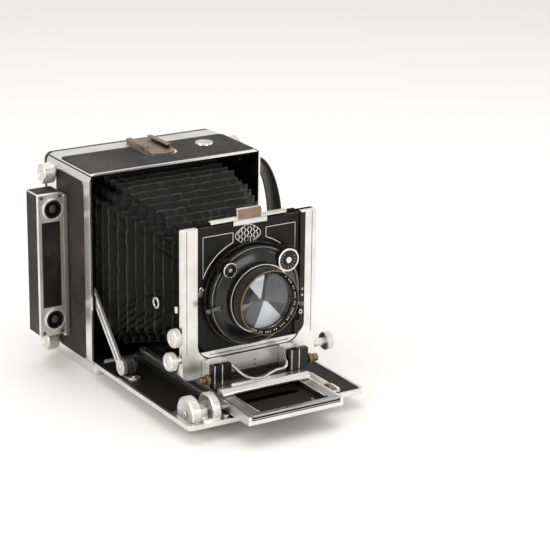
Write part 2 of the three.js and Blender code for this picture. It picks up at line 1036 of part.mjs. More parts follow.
const hingePin = bar("x", -lugOuter, lugOuter, hingeY, hingeZ, BED.pinRadius, 12);
add(bed, "bed_hinge_pin", hingePin, steel);

const footTop = bedBottom - GAP;
const bedFoot = cut(
  bar("z", 0, footTop, 0, ahead(BED.footForward), BED.footRadius),
  bar("z", -1, BED.footSocketDepth, 0, ahead(BED.footForward), BED.footSocket, 16),
);
add(bed, "bed_foot", bedFoot, silver);

// ---------------------------------------------------------------------- struts
const pivotY = ahead(STRUT.pivotForward);
const strutTopY = bodyFront + STRUT.topBack;

function strut(sign) {
  const [x0, x1] = sideSpan(sign, strutOuter - STRUT.thickness, strutOuter);
  const run = new THREE.Vector2(strutTopY - pivotY, STRUT.topHeight - STRUT.pivotHeight);
  const side = new THREE.Vector2(-run.y, run.x).normalize().multiplyScalar(STRUT.width / 2);
  const arm = polygon([
    [pivotY - side.x, STRUT.pivotHeight - side.y],
    [strutTopY - side.x, STRUT.topHeight - side.y],
    [strutTopY + side.x, STRUT.topHeight + side.y],
    [pivotY + side.x, STRUT.pivotHeight + side.y],
  ]);
  const [p0, p1] = sideSpan(sign, strutOuter - 1, strutOuter + STRUT.pinLength - SLIP + 0.1);
  return join(
    alongX(arm, x0, x1),
    bar("x", x0, x1, pivotY, STRUT.pivotHeight, STRUT.discRadius),
    bar("x", x0, x1, strutTopY, STRUT.topHeight, STRUT.width / 2, 16),
    bar("x", p0, p1, strutTopY, STRUT.topHeight, STRUT.pinRadius, 12),
  );
}

function strutHub(sign) {
  const outer = strutOuter - STRUT.thickness - SLIP;
  const [x0, x1] = sideSpan(sign, outer - STRUT.hubWidth, outer);
  const footX = sign * (outer - STRUT.hubWidth / 2);
  const footY = ahead(STRUT.footForward);
  const low = bedFloor + GAP;
  return join(
    bar("x", x0, x1, pivotY, STRUT.pivotHeight, STRUT.hubRadius),
    block(x0, x1, footY, pivotY + 4, low, low + STRUT.footThickness),
    bar("z", low, low + STRUT.footThickness, footX, footY, STRUT.footRadius, 20),
  );
}
for (const [side, sign] of SIDES) {
  add(bed, side + "_strut", strut(sign), silver);
  add(bed, side + "_strut_hub", strutHub(sign), blackMetal);
}

// ------------------------------------------------------- wheels, shaft, pinion
const wheelBar = ([x0, x1], radius, sides) => bar("x", x0, x1, 0, 0, radius, sides);
const wheelPlace = [0, wheelY, WHEEL.height];
add(bed, "focus_wheel", wheelBar(outerWheel, WHEEL.radius, 32), silver, wheelPlace);
const lockWheel = cut(
  wheelBar(innerWheel, WHEEL.radius, 32),
  wheelBar([innerWheel[0] - 1, innerWheel[1] + 1], WHEEL.shaftRadius + SLIP, 16),
);
add(bed, "track_lock_wheel", lockWheel, silver, wheelPlace);

// Tooth outlines are straight-sided, and thinner than the space that they run in.
function pinionOutline() {
  const pitch = (2 * Math.PI) / GEAR.teeth;
  const points = [];
  for (let i = 0; i < GEAR.teeth; i++) {
    const middle = Math.PI / 2 + i * pitch;
    const at = (radius, turn) => [
      radius * Math.cos(middle + turn * pitch),
      radius * Math.sin(middle + turn * pitch),
    ];
    points.push(
      at(pinionRadius - GEAR.tooth - GEAR.rootClearance, -GEAR.rootShare),
      at(pinionRadius + GEAR.tooth, -GEAR.tipShare),
      at(pinionRadius + GEAR.tooth, GEAR.tipShare),
      at(pinionRadius - GEAR.tooth - GEAR.rootClearance, GEAR.rootShare),
    );
  }
  return polygon(points);
}
const focusShaft = join(
  wheelBar([outerWheel[1] + GAP, pinionSpan[0] + 1], WHEEL.shaftRadius, 16),
  alongX(pinionOutline(), ...pinionSpan),
);
add(bed, "focus_shaft", focusShaft, steel, wheelPlace);

// ---------------------------------------------------------------------- tracks
const trackRear = ahead(TRACK.rearForward);
const trackFront = ahead(TRACK.frontForward);

function trackGuides() {
  const rearY = ahead(TRACK.guideRear);
  const frontY = ahead(TRACK.guideFront);
  const inner = trackHalf + SLIP;
  const low = bedFloor + GAP;
  const sides = SIDES.map(([, sign]) =>
    block(...sideSpan(sign, inner, inner + TRACK.guideWidth), frontY, rearY, low, low + TRACK.guideHeight),
  );
  const cross = block(-inner - 1, inner + 1, rearY - 5, rearY, low, TRACK.height - SLIP);
  return join(...sides, cross);
}
add(bed, "track_guides", trackGuides(), blackMetal);

function rackOutline() {
  const pitch = Math.PI * GEAR.module;
  const root = WHEEL.height + pinionRadius + GEAR.tooth + GEAR.rootClearance;
  const tip = WHEEL.height + pinionRadius - GEAR.tooth;
  const back = wheelY + pitch * (Math.floor((ahead(GEAR.rackStart) - wheelY) / pitch) + 0.5);
  const points = [];
  for (let i = GEAR.rackTeeth - 1; i >= 0; i--) {
    const y = back - i * pitch;
    points.push([y - GEAR.rootShare * pitch, root], [y - GEAR.rackTipShare * pitch, tip]);
    points.push([y + GEAR.rackTipShare * pitch, tip], [y + GEAR.rootShare * pitch, root]);
  }
  const first = points[0][0] - 1;
  const last = points[points.length - 1][0] + 1;
  const top = root + TRACK.lipThickness;
  points.push([last, root], [last, top], [first, top], [first, root]);
  return polygon(points);
}

function lowerTrack() {
  const plate = block(
    -trackHalf,
    trackHalf,
    trackFront,
    trackRear,
    TRACK.height,
    TRACK.height + TRACK.flangeHeight,
  );
  const channel = block(
    -TRACK.halfWidth,
    TRACK.halfWidth,
    trackFront - 1,
    trackRear + 1,
    lowerTop,
    upperTop + 1,
  );
  const slot = alongZ(
    rounded(
      -TRACK.slotHalfLength,
      TRACK.slotHalfLength,
      ahead(TRACK.slotForward) - TRACK.slotWidth / 2,
      ahead(TRACK.slotForward) + TRACK.slotWidth / 2,
      TRACK.slotWidth / 2 - 0.01,
    ),
    TRACK.height - 1,
    lowerTop + 1,
  );
  const lip = alongX(rackOutline(), pinionSpan[0] - SLIP, -trackHalf + SLIP);
  return join(cut(plate, channel, slot), lip);
}
add(bed, "lower_track", lowerTrack(), blackMetal);

function upperTrack() {
  const plate = block(-upperHalf, upperHalf, trackFront, trackRear, upperBottom, upperTop);
  const opening = block(
    -railInner,
    railInner,
    trackFront + TRACK.frontBar,
    trackRear - TRACK.rearBar,
    upperBottom - 1,
    upperTop + 1,
  );
  const grooveMiddle = (upperBottom + upperTop) / 2;
  const grooves = SIDES.map(([, sign]) =>
    block(
      ...sideSpan(sign, upperHalf - TRACK.groove, upperHalf + 1),
      trackFront - 1,
      trackRear + 1,
      grooveMiddle - TRACK.grooveWidth / 2,
      grooveMiddle + TRACK.grooveWidth / 2,
    ),
  );
  return cut(plate, opening, ...grooves);
}
add(bed, "upper_track", upperTrack(), steel);

const stopFloor = bedFloor + GAP;
const infinityStop = join(
  bar("y", ahead(STOP.front), ahead(STOP.rear), STOP.x, stopFloor + STOP.radius, STOP.radius, 20),
  block(
    STOP.x - STOP.radius,
    STOP.x - STOP.radius + STOP.plateWidth,
    ahead(STOP.plateFront),
    ahead(STOP.rear),
    stopFloor,
    stopFloor + STOP.plateThickness,
  ),
);
add(bed, "infinity_stop", infinityStop, steel);

// -------------------------------------------------------------------- carriage
const barFront = ahead(CARRIAGE.frontForward);
const barBack = barFront + CARRIAGE.bar;
const clampFront = barBack + GAP;
const clampBottom = deckTop + GAP;

function carriage() {
  const deck = block(
    -CARRIAGE.halfWidth,
    CARRIAGE.halfWidth,
    barBack - 1,
    ahead(CARRIAGE.rearForward),
    deckBottom,
    deckTop,
  );
  const runner = block(
    -railInner + SLIP,
    railInner - SLIP,
    barBack - 1,
    ahead(CARRIAGE.rearForward),
    upperBottom,
    deckBottom + 1,
  );
  const slope = polygon([
    [barFront, deckBottom],
    [barBack, deckBottom],
    [barBack, deckBottom + CARRIAGE.barHeight],
    [barFront + CARRIAGE.barSlope, deckBottom + CARRIAGE.barHeight],
    [barFront, deckBottom + CARRIAGE.barHeight - CARRIAGE.barSlope],
  ]);
  const guide = block(
    -CARRIAGE.halfWidth + 1,
    CARRIAGE.halfWidth - 1,
    frameBack + SLIP,
    frameBack + SLIP + CARRIAGE.guideWall,
    deckTop - 1,
    deckTop + CARRIAGE.guideHeight,
  );
  const pad = block(
    -CARRIAGE.halfWidth + 1,
    CARRIAGE.halfWidth - 1,
    frameFront,
    frameBack + SLIP + 1,
    deckTop - 1,
    FRAME.bottom - SLIP,
  );
  return join(deck, runner, alongX(slope, -CARRIAGE.halfWidth - 1, CARRIAGE.halfWidth + 1), guide, pad);
}
add(standard, "carriage", carriage(), silver);

const clampInner = CLAMP.x - CLAMP.width / 2;
const clampOuter = CLAMP.x + CLAMP.width / 2;
const bailY = ahead(CLAMP.pivotForward);

function clamp(sign) {
  const [x0, x1] = sideSpan(sign, clampInner, clampOuter);
  const [b0, b1] = sideSpan(sign, clampInner - 1, clampInner + CLAMP.pivotDepth);
  return cut(
    block(x0, x1, clampFront, frameFront - SLIP, clampBottom, clampBottom + CLAMP.height),
    bar("x", b0, b1, bailY, CLAMP.pivotHeight, BAIL.wire + GAP, 12),
  );
}

// A clamp's brass screw: a knurled disc on a plain body, with a pin that ends at the clamp.
function clampScrew(sign) {
  const near = clampOuter + GAP;
  const disc = near + CLAMP.screwPinLength;
  const end = disc + CLAMP.screwDiscWidth;
  const pieces = [
    [near, disc + 1, CLAMP.screwPin, 10],
    [disc, end, CLAMP.screwDisc, 20],
    [end - 1, end + CLAMP.screwBodyWidth, CLAMP.screwBody, 16],
  ];
  return join(
    ...pieces.map(([a, b, radius, sides]) => bar("x", ...sideSpan(sign, a, b), 0, 0, radius, sides)),
  );
}
for (const [side, sign] of SIDES) {
  add(standard, side + "_clamp", clamp(sign), blackMetal);
  const place = [0, ahead(CLAMP.screwForward), CLAMP.screwHeight];
  add(standard, side + "_clamp_screw", clampScrew(sign), brass, place);
}

// The bail is one bent wire: its ends turn in the clamps, and its middle lies on the front bar.
function bailWire() {
  const end = clampInner + CLAMP.pivotDepth - GAP;
  const dipY = ahead(BAIL.dipForward);
  const half = [
    [end, bailY, CLAMP.pivotHeight],
    [clampInner - 2, bailY, CLAMP.pivotHeight],
    [BAIL.sideHalf, bailY - 4, CLAMP.pivotHeight - 4],
    [BAIL.dipHalf, dipY + 1, BAIL.dipHeight + 0.8],
  ];
  const mirror = half.map(([x, y, z]) => [-x, y, z]).reverse();
  const route = [...half, [0, dipY, BAIL.dipHeight], ...mirror];
  const curve = new THREE.CatmullRomCurve3(
    route.map((p) => new THREE.Vector3(...p)),
    false,
    "catmullrom",
    0.3,
  );
  const section = new THREE.Shape();
  section.absarc(0, 0, BAIL.wire, 0, Math.PI * 2);
  const geometry = new THREE.ExtrudeGeometry(section, {
    extrudePath: curve,
    steps: 30,
    curveSegments: 4,
    bevelEnabled: false,
  });
  return solid(geometry);
}
add(standard, "bail", bailWire(), nickel);

// ---------------------------------------------------------------------- U-frame
function uFrame() {
  const outer = alongY(
    rounded(-FRAME.halfWidth, FRAME.halfWidth, FRAME.bottom, FRAME.top, [FRAME.corner, FRAME.corner, 1, 1]),
    frameFront,
    frameBack,
    3,
  );
  const inner = alongY(
    rounded(-FRAME.innerHalf, FRAME.innerHalf, FRAME.sill, FRAME.top + 20, [
      FRAME.innerCorner,
      FRAME.innerCorner,
      0,
      0,
    ]),
    frameFront - 1,
    frameBack + 1,
  );
  const grooveBack = frameBack - FRAME.grooveFromBack;
  const grooves = block(
    -FRAME.innerHalf - FRAME.grooveDepth,
    FRAME.innerHalf + FRAME.grooveDepth,
    grooveBack - FRAME.grooveWidth,
    grooveBack,
    FRAME.sill + FRAME.innerCorner,
    FRAME.top + 1,
  );
  const bores = [
    [-1, KNOB.riseHeight],
    [-1, KNOB.shiftHeight],
    [1, KNOB.sideHeight],
  ].map(([sign, z]) => {
    const [x0, x1] = sideSpan(sign, FRAME.halfWidth - 9, FRAME.halfWidth + 1);
    return bar("x", x0, x1, knobY, z, FRAME.boreRadius, 12);
  });
  return cut(outer, inner, grooves, ...bores);
}
add(standard, "u_frame", uFrame(), silver);

// A knob on a shaft that runs into the U-frame.
function frameKnob(sign, shaft) {
  const seat = FRAME.halfWidth + GAP;
  const pieces = [
    [FRAME.halfWidth - 8, seat + shaft + 1, FRAME.shaftRadius, 12],
    [seat, seat + shaft, Math.min(KNOB.hubRadius, FRAME.shaftRadius + 1.6), 14],
    [seat + shaft, seat + shaft + KNOB.thickness, KNOB.radius, 24],
  ];
  return join(
    ...pieces.map(([a, b, radius, sides]) => bar("x", ...sideSpan(sign, a, b), 0, 0, radius, sides)),
  );
}
add(standard, "rise_knob", frameKnob(-1, KNOB.riseShaft), silver, [0, knobY, KNOB.riseHeight]);
add(standard, "shift_lock_knob", frameKnob(-1, KNOB.shiftShaft), silver, [0, knobY, KNOB.shiftHeight]);
add(standard, "side_lock_knob", frameKnob(1, KNOB.sideShaft), silver, [0, knobY, KNOB.sideHeight]);

// ----------------------------------------------------------- panel, board, catch
function lensPanel() {
  const corner = FRAME.innerCorner - SLIP;
  const body = alongY(
    rounded(-panelHalf, panelHalf, panelBottom, FRAME.top, [corner, corner, 0, 0]),
    boardFront - 1,
    panelBack,
  );
  const seat = block(
    -panelHalf - 1,
    panelHalf + 1,
    boardFront - 2,
    panelFront,
    panelBottom + PANEL.bar,
    FRAME.top + 1,
  );
  const opening = block(
    -PANEL.openingHalf,
    PANEL.openingHalf,
    panelFront - 1,
    panelBack + 1,
    LENS.height - PANEL.openingHalf,
    LENS.height + PANEL.openingHalf,
  );
  const grooveBack = frameBack - FRAME.grooveFromBack;
  const tongues = block(
    -panelHalf - PANEL.tongueDepth,
    panelHalf + PANEL.tongueDepth,
    grooveBack - SLIP - PANEL.tongueWidth,
    grooveBack - SLIP,
    FRAME.sill + FRAME.innerCorner + 1,
    FRAME.top - 1,
  );
  return cut(join(cut(body, seat), tongues), opening);
}
add(standard, "lens_panel", lensPanel(), silver);

const boardHalf = panelHalf - BOARD.inset;
const lensBoard = cut(
  alongY(
    rounded(-boardHalf, boardHalf, boardBottom, FRAME.top - 0.8, [BOARD.corner, BOARD.corner, 1, 1]),
    boardFront,
    boardBack,
    4,
  ),
  bar("y", boardFront - 1, boardBack + 1, 0, LENS.height, BOARD.hole, 32),
);
add(standard, "lens_board", lensBoard, blackMetal);

function boardCatch() {
  const low = FRAME.top + GAP;
  const middle = frameFront + FRAME.thickness / 2;
  const front = middle - CATCH.depth / 2;
  const back = middle + CATCH.depth / 2;
  const lipBack = boardFront - GAP;
  return join(
    block(-CATCH.halfLength, CATCH.halfLength, front, back, low, low + CATCH.height),
    block(
      -CATCH.bracketHalf,
      CATCH.bracketHalf,
      front - 1,
      back - 1,
      low,
      low + CATCH.height + CATCH.bracketHeight,
    ),
    block(-CATCH.lipHalf, CATCH.lipHalf, lipBack - CATCH.lipThickness, front + 1, low, low + 1.4),
    block(
      -CATCH.lipHalf,
      CATCH.lipHalf,
      lipBack - CATCH.lipThickness,
      lipBack,
      low - CATCH.lipDrop,
      low + 1.4,
    ),
  );
}
add(standard, "board_catch", boardCatch(), nickel);

// ------------------------------------------------------------------ the shutter
const optics = assembly("optics_assembly", standard);
optics.position.set(0, 0, LENS.height);
const polar = (radius, degrees) => [
  radius * Math.cos(THREE.MathUtils.degToRad(degrees)),
  radius * Math.sin(THREE.MathUtils.degToRad(degrees)),
];

function shutterCase() {
  const shell = turned(
    [
      [SHUTTER.bore, caseBack],
      [SHUTTER.radius, caseBack],
      [SHUTTER.radius, caseFront + SHUTTER.chamfer],
      [SHUTTER.radius - SHUTTER.chamfer, caseFront],
      [SHUTTER.bore, caseFront],
    ].reverse(),
    0,
    0,
  );
  const ears = [
    [SHUTTER.speedX, SHUTTER.speedZ, SHUTTER.speedRadius],
    [SHUTTER.modeX, SHUTTER.modeZ, SHUTTER.modeRadius],
  ].map(([x, z, radius]) =>
    bar("y", caseFront, caseBack - SHUTTER.rearDepth, x, z, radius + SHUTTER.ear, 28),
  );
  return cut(
    join(shell, ...ears),
    bar("y", caseFront - 1, caseBack + 1, 0, 0, SHUTTER.bore, 48),
  );
}
add(optics, "shutter_case", shutterCase(), blackMetal);

const dialBack = caseFront - GAP;
const dial = (radius) =>
  join(
    bar("y", dialBack - SHUTTER.dialDepth, dialBack, 0, 0, radius, 28),
    bar("y", dialBack - SHUTTER.dialDepth - 1, dialBack, 0, 0, radius * 0.26, 14),
  );
add(optics, "speed_dial", dial(SHUTTER.speedRadius), nickel, [SHUTTER.speedX, 0, SHUTTER.speedZ]);
add(optics, "mode_dial", dial(SHUTTER.modeRadius), blackMetal, [SHUTTER.modeX, 0, SHUTTER.modeZ]);

// A lever whose boss sits on the shutter's face and whose arm points outwards.
function shutterLever(degrees) {
  const [x, z] = polar(SHUTTER.leverReach, degrees);
  const back = dialBack;
  const front = back - SHUTTER.leverThickness;
  const side = polar(SHUTTER.leverWidth / 2, degrees + 90);
  const arm = polygon([
    [side[0], side[1]],
    [-side[0], -side[1]],
    [x - side[0] * 0.6, z - side[1] * 0.6],
    [x + side[0] * 0.6, z + side[1] * 0.6],
  ]);
  return join(
    bar("y", front - 0.6, back, 0, 0, SHUTTER.leverWidth / 2 + 0.6, 14),
    alongY(arm, front, back),
    bar("y", front - 0.6, back, x, z, 2, 12),
  );
}
const leverPlace = (degrees) => {
  const [x, z] = polar(SHUTTER.leverRadius, degrees);
  return [x, 0, z];
};
const cocking = leverPlace(SHUTTER.cockingAngle);
const releasing = leverPlace(SHUTTER.releaseAngle);
add(optics, "cocking_lever", shutterLever(SHUTTER.cockingAngle), nickel, cocking);
add(optics, "release_lever", shutterLever(SHUTTER.releaseAngle), nickel, releasing);

// The aperture ring turns round the rear of the case, and its pointer stands up at the top.
const ringBack = caseBack - GAP;
const ringFront = caseBack - SHUTTER.rearDepth + SLIP;
const ringInner = SHUTTER.radius + SLIP;
const ringOuter = ringInner + SHUTTER.ringWidth;
const apertureRing = join(
  turned(
    [
      [ringInner, ringFront],
      [ringOuter, ringFront],
      [ringOuter, ringBack],
      [ringInner, ringBack],
    ],
    0,
    0,
  ),
  block(
    -SHUTTER.pointerWidth / 2,
    SHUTTER.pointerWidth / 2,
    ringFront,
    ringBack,
    ringOuter - 0.5,
    ringOuter + SHUTTER.pointerReach,
  ),
);
add(optics, "aperture_ring", apertureRing, silver);

const irisMiddle = (caseFront + caseBack) / 2;
const iris = turned(
  [
    [SHUTTER.irisHole, irisMiddle - SHUTTER.irisThickness / 2],
    [SHUTTER.bore - SLIP, irisMiddle - SHUTTER.irisThickness / 2],
    [SHUTTER.bore - SLIP, irisMiddle + SHUTTER.irisThickness / 2],
    [SHUTTER.irisHole, irisMiddle + SHUTTER.irisThickness / 2],
  ],
  0,
  0,
  10,
);
add(optics, "iris", iris, steel);

// ---------------------------------------------------------------------- barrels
const barrelBack = caseFront - GAP;
const barrelFront = barrelBack - BARREL.length;
const bore = BARREL.radius - BARREL.wall;
const frontBarrel = turned(
  [
    [BARREL.seatRadius, barrelBack - BARREL.seat],
    [bore, barrelBack - BARREL.seat],
    [bore, barrelFront],
    [BARREL.radius - 1, barrelFront],
    [BARREL.radius, barrelFront + 1],
    [BARREL.radius, barrelBack],
    [BARREL.seatRadius, barrelBack],
  ],
  0,
  0,
);
add(optics, "front_barrel", frontBarrel, blackMetal);

// A lens element with one bulging face, made from a few rings.
function element(radius, back, thickness, bulge, towards) {
  const rings = 4;
  const profile = [[0.001, back]];
  profile.push([radius, back], [radius, back + towards * thickness]);
  for (let i = 1; i <= rings; i++) {
    const t = 1 - i / rings;
    profile.push([Math.max(0.001, radius * t), back + towards * (thickness + bulge * (1 - t * t))]);
  }
  const points = profile.map(([r, y]) => new THREE.Vector2(r === 0.001 ? 0 : r, y));
  const ordered = towards < 0 ? points.reverse() : points;
  return solid(new THREE.LatheGeometry(ordered, 40));
}
const frontGlass = element(
  bore - GAP,
  barrelBack - BARREL.seat - GAP,
  BARREL.glassDepth - BARREL.glassBulge,
  BARREL.glassBulge,
  -1,
);
add(optics, "front_glass", frontGlass, glass);

const rearStart = boardFront + 0.2;
const rearEnd = rearStart + BARREL.rearLength;
const rearBore = BARREL.rearRadius - BARREL.rearWall;
const rearBarrel = turned(
  [
    [rearBore, rearStart],
    [BARREL.rearRadius, rearStart],
    [BARREL.rearRadius, boardBack + GAP],
    [BARREL.nutRadius, boardBack + GAP],
    [BARREL.nutRadius, boardBack + GAP + BARREL.nutWidth],
    [BARREL.rearRadius, boardBack + GAP + BARREL.nutWidth],
    [BARREL.rearRadius, rearEnd],
    [rearBore, rearEnd],
  ],
  0,
  0,
  36,
);
add(optics, "rear_barrel", rearBarrel, blackMetal);

// ------------------------------------------------------------------------- back
function backCarriage() {
  const plate = alongY(
    rounded(
      -halfBody + BACK.inset,
      halfBody - BACK.inset,
      bodyBottom + BACK.inset,
      bodyTop - BACK.inset,
      BODY.corner,
    ),
    carriageBack,
    carriageBack + BACK.plate,
  );
  const rods = rodPlaces.map(([x, z]) =>
    bar("y", carriageBack + 1 - BACK.rodLength, carriageBack + 1, x, z, BACK.rodRadius, 12),
  );
  const hole = bar(
    "y",
    carriageBack - 1,
    carriageBack + BACK.plate + 1,
    0,
    bodyMiddle,
    BACK.ringRadius,
    64,
  );
  return join(cut(plate, hole), ...rods);
}
add(rear, "back_carriage", backCarriage(), blackMetal);

const backFace = carriageBack + BACK.plate;
const pictureHalfX = BACK.pictureWidth / 2;
const pictureHalfZ = BACK.pictureHeight / 2;
const picture = (grow, y0, y1) =>
  block(
    -pictureHalfX - grow,
    pictureHalfX + grow,
    y0,
    y1,
    bodyMiddle - pictureHalfZ - grow,
    bodyMiddle + pictureHalfZ + grow,
  );
const glassSeat = 2;
const revolvingBack = cut(
  join(
    bar("y", carriageBack + 0.7, backFace + 1, 0, bodyMiddle, BACK.ringRadius - SLIP, 64),
    alongY(
      rounded(
        -BACK.frameHalf,
        BACK.frameHalf,
        bodyMiddle - BACK.frameHalf,
        bodyMiddle + BACK.frameHalf,
        8,
      ),
      backFace + SLIP,
      backFace + SLIP + BACK.frame,
      3,
    ),
  ),
  picture(-glassSeat, carriageBack, backFace + BACK.frame + 2),
  picture(GAP, backFace + SLIP + BACK.frame - BACK.glass - GAP, backFace + BACK.frame + 2),
);
add(rear, "revolving_back", revolvingBack, blackMetal);
const frameFace = backFace + SLIP + BACK.frame;
add(rear, "ground_glass", picture(0, frameFace - BACK.glass, frameFace), glass);

const hoodStart = frameFace + SLIP;
const hoodHalfX = BACK.hoodWidth / 2;
const hoodHalfZ = BACK.hoodHeight / 2;
const focusingHood = cut(
  alongY(
    rounded(-hoodHalfX, hoodHalfX, bodyMiddle - hoodHalfZ, bodyMiddle + hoodHalfZ, BACK.hoodCorner),
    hoodStart,
    hoodStart + BACK.hoodDepth,
    3,
  ),
  block(
    -hoodHalfX + BACK.hoodWall,
    hoodHalfX - BACK.hoodWall,
    hoodStart - 1,
    hoodStart + BACK.hoodDepth - BACK.hoodWall,
    bodyMiddle - hoodHalfZ + BACK.hoodWall,
    bodyMiddle + hoodHalfZ - BACK.hoodWall,
  ),
);
add(rear, "focusing_hood", focusingHood, leather);

export default camera;
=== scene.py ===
# %% [markdown]
# # A folding press camera, from frame to finish
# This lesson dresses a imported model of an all-metal press camera: the metal box with its leather,
# the drop bed with its sliding tracks, the folded bellows, and the lens in its leaf shutter.
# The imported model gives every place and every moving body. We read it once, keep its outer box,
# and take each position from it, so that nothing here has to be fitted by eye.
# %% Load the frame
import json
import math

import bmesh
import bpy
from mathutils import Matrix, Vector

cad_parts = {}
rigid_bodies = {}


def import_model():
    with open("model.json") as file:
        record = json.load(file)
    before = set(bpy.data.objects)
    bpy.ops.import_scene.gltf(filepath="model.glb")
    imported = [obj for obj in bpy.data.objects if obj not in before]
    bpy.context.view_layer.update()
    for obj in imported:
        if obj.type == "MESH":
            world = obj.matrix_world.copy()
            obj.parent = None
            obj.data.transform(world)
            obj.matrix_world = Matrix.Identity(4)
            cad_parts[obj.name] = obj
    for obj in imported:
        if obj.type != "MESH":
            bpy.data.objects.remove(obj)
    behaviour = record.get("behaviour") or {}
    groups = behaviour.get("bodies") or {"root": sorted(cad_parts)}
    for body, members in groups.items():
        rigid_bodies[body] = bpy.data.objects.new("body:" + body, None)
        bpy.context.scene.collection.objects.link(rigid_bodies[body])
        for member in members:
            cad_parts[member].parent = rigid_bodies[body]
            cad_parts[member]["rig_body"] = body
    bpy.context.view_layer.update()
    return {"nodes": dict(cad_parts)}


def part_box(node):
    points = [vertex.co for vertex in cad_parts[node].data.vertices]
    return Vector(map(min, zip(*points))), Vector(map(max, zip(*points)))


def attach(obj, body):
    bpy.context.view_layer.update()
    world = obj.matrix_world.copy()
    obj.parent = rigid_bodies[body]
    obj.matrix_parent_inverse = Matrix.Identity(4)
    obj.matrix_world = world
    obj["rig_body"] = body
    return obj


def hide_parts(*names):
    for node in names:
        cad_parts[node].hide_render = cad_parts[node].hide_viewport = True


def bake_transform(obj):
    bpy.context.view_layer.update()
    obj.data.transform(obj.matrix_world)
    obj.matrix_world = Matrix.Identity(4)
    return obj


MM = 0.001
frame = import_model()
nodes = frame["nodes"]

# %% [markdown]
# ## The camera that looks at the camera
# A long lens a little above the object keeps the perspective calm, as in a catalogue picture.
# We build the view direction from an azimuth and an elevation, then add a slight roll, because
# that reads more clearly than three Euler angles.
# %% Viewpoint
VIEW_AZIMUTH = math.radians(-31.93)
VIEW_ELEVATION = math.radians(18.71)
VIEW_ROLL = math.radians(0.67)
VIEW_PLACE = Vector((-0.86055, -1.58237, 0.67818))
VIEW_LENS, VIEW_SENSOR = 139.97, 36

level = math.cos(VIEW_ELEVATION)
away = Vector((
    math.sin(VIEW_AZIMUTH) * level, -math.cos(VIEW_AZIMUTH) * level, math.sin(VIEW_ELEVATION)
))
level_right = (-away).cross(Vector((0, 0, 1))).normalized()
level_up = level_right.cross(-away)
view_right = level_right * math.cos(VIEW_ROLL) + level_up * math.sin(VIEW_ROLL)
view_up = away.cross(view_right)
viewer = bpy.data.objects.new("viewer", bpy.data.cameras.new("viewer"))
bpy.context.scene.collection.objects.link(viewer)
viewer.data.lens = VIEW_LENS
viewer.data.sensor_width = VIEW_SENSOR
axes = Matrix((view_right, view_up, away)).transposed()
viewer.matrix_world = Matrix.Translation(VIEW_PLACE) @ axes.to_4x4()
bpy.context.scene.camera = viewer
print("viewer stands at", tuple(round(v, 3) for v in VIEW_PLACE))

# %% [markdown]
# ## Floor and light
# Chromed frames show whatever surrounds them, so the studio is part of their finish. A pale
# floor, a wide overhead softbox and a tall one on the left give broad white reflections with
# dark edges between them. A small light on the right keeps the far uprights from going black.
# %% Node helpers
def fill(tree, made, inputs):
    """Set or link a node's inputs, by name or number."""
    for key, value in inputs.items():
        if isinstance(value, bpy.types.NodeSocket):
            tree.links.new(value, made.inputs[key])
        else:
            made.inputs[key].default_value = value


def node(tree, kind, inputs=None, output=0, **settings):
    """Add a node, set its properties and its inputs, and return one of its outputs."""
    made = tree.nodes.new(kind)
    for key, value in settings.items():
        setattr(made, key, value)
    fill(tree, made, inputs or {})
    return made.outputs[output]


def maths(tree, operation, first, second=0.0, third=0.0):
    inputs = {0: first, 1: second, 2: third}
    return node(tree, "ShaderNodeMath", inputs, operation=operation)

# %% Studio
def studio_light(name, place, aim, size, power):
    data = bpy.data.lights.new(name, "AREA")
    data.shape = "RECTANGLE"
    data.size, data.size_y = size
    data.energy = power
    light = bpy.data.objects.new(name, data)
    bpy.context.scene.collection.objects.link(light)
    light.location = place
    direction = Vector(aim) - Vector(place)
    light.rotation_mode = "QUATERNION"
    light.rotation_quaternion = direction.to_track_quat("-Z", "Y")


studio_light("overhead_softbox", (0.1, 0.25, 1.5), (0, -0.05, 0.05), (1.5, 1.1), 10)
studio_light("left_softbox", (-1.5, -0.35, 0.8), (0, -0.08, 0.1), (0.7, 1.1), 9)
studio_light("front_softbox", (0.25, -1.6, 0.75), (0, -0.15, 0.08), (0.9, 0.5), 5)
studio_light("right_strip", (1.3, -0.45, 0.55), (0, -0.15, 0.08), (0.3, 0.9), 3)

world = bpy.data.worlds.new("studio_surroundings")
bpy.context.scene.world = world
world.use_nodes = True
surroundings = world.node_tree.nodes["Background"]
fill(world.node_tree, surroundings, {"Color": (1, 0.99, 0.975, 1), "Strength": 0.78})
bpy.context.scene.view_settings.view_transform = "Standard"

FLOOR_HALF = 12
corner_signs = ((-1, -1), (1, -1), (1, 1), (-1, 1))
floor_corners = [(x * FLOOR_HALF, y * FLOOR_HALF, 0) for x, y in corner_signs]
floor_mesh = bpy.data.meshes.new("studio_floor")
floor_mesh.from_pydata(floor_corners, [], [(0, 1, 2, 3)])
floor = bpy.data.objects.new("studio_floor", floor_mesh)
bpy.context.scene.collection.objects.link(floor)
floor_paint = bpy.data.materials.new("pale_floor")
floor_paint.use_nodes = True
floor_shader = floor_paint.node_tree.nodes["Principled BSDF"]
floor_look = {"Base Color": (0.9, 0.885, 0.86, 1), "Roughness": 0.55}
fill(floor_paint.node_tree, floor_shader, floor_look)
floor_mesh.materials.append(floor_paint)
print("studio: 4 lights and a floor")


def new_finish(name):
    """A material, its tree, its shader, and the coordinates that its patterns read."""
    material = bpy.data.materials.new(name)
    material.use_nodes = True
    tree = material.node_tree
    place = node(tree, "ShaderNodeTexCoord", output="Object")
    return material, tree, tree.nodes["Principled BSDF"], place


def noise(tree, place, scale, detail=3.0, roughness=0.55, stretch=None):
    if stretch:
        place = node(tree, "ShaderNodeMapping", {"Vector": place, "Scale": stretch})
    inputs = {"Vector": place, "Scale": scale, "Detail": detail, "Roughness": roughness}
    return node(tree, "ShaderNodeTexNoise", inputs, "Fac")


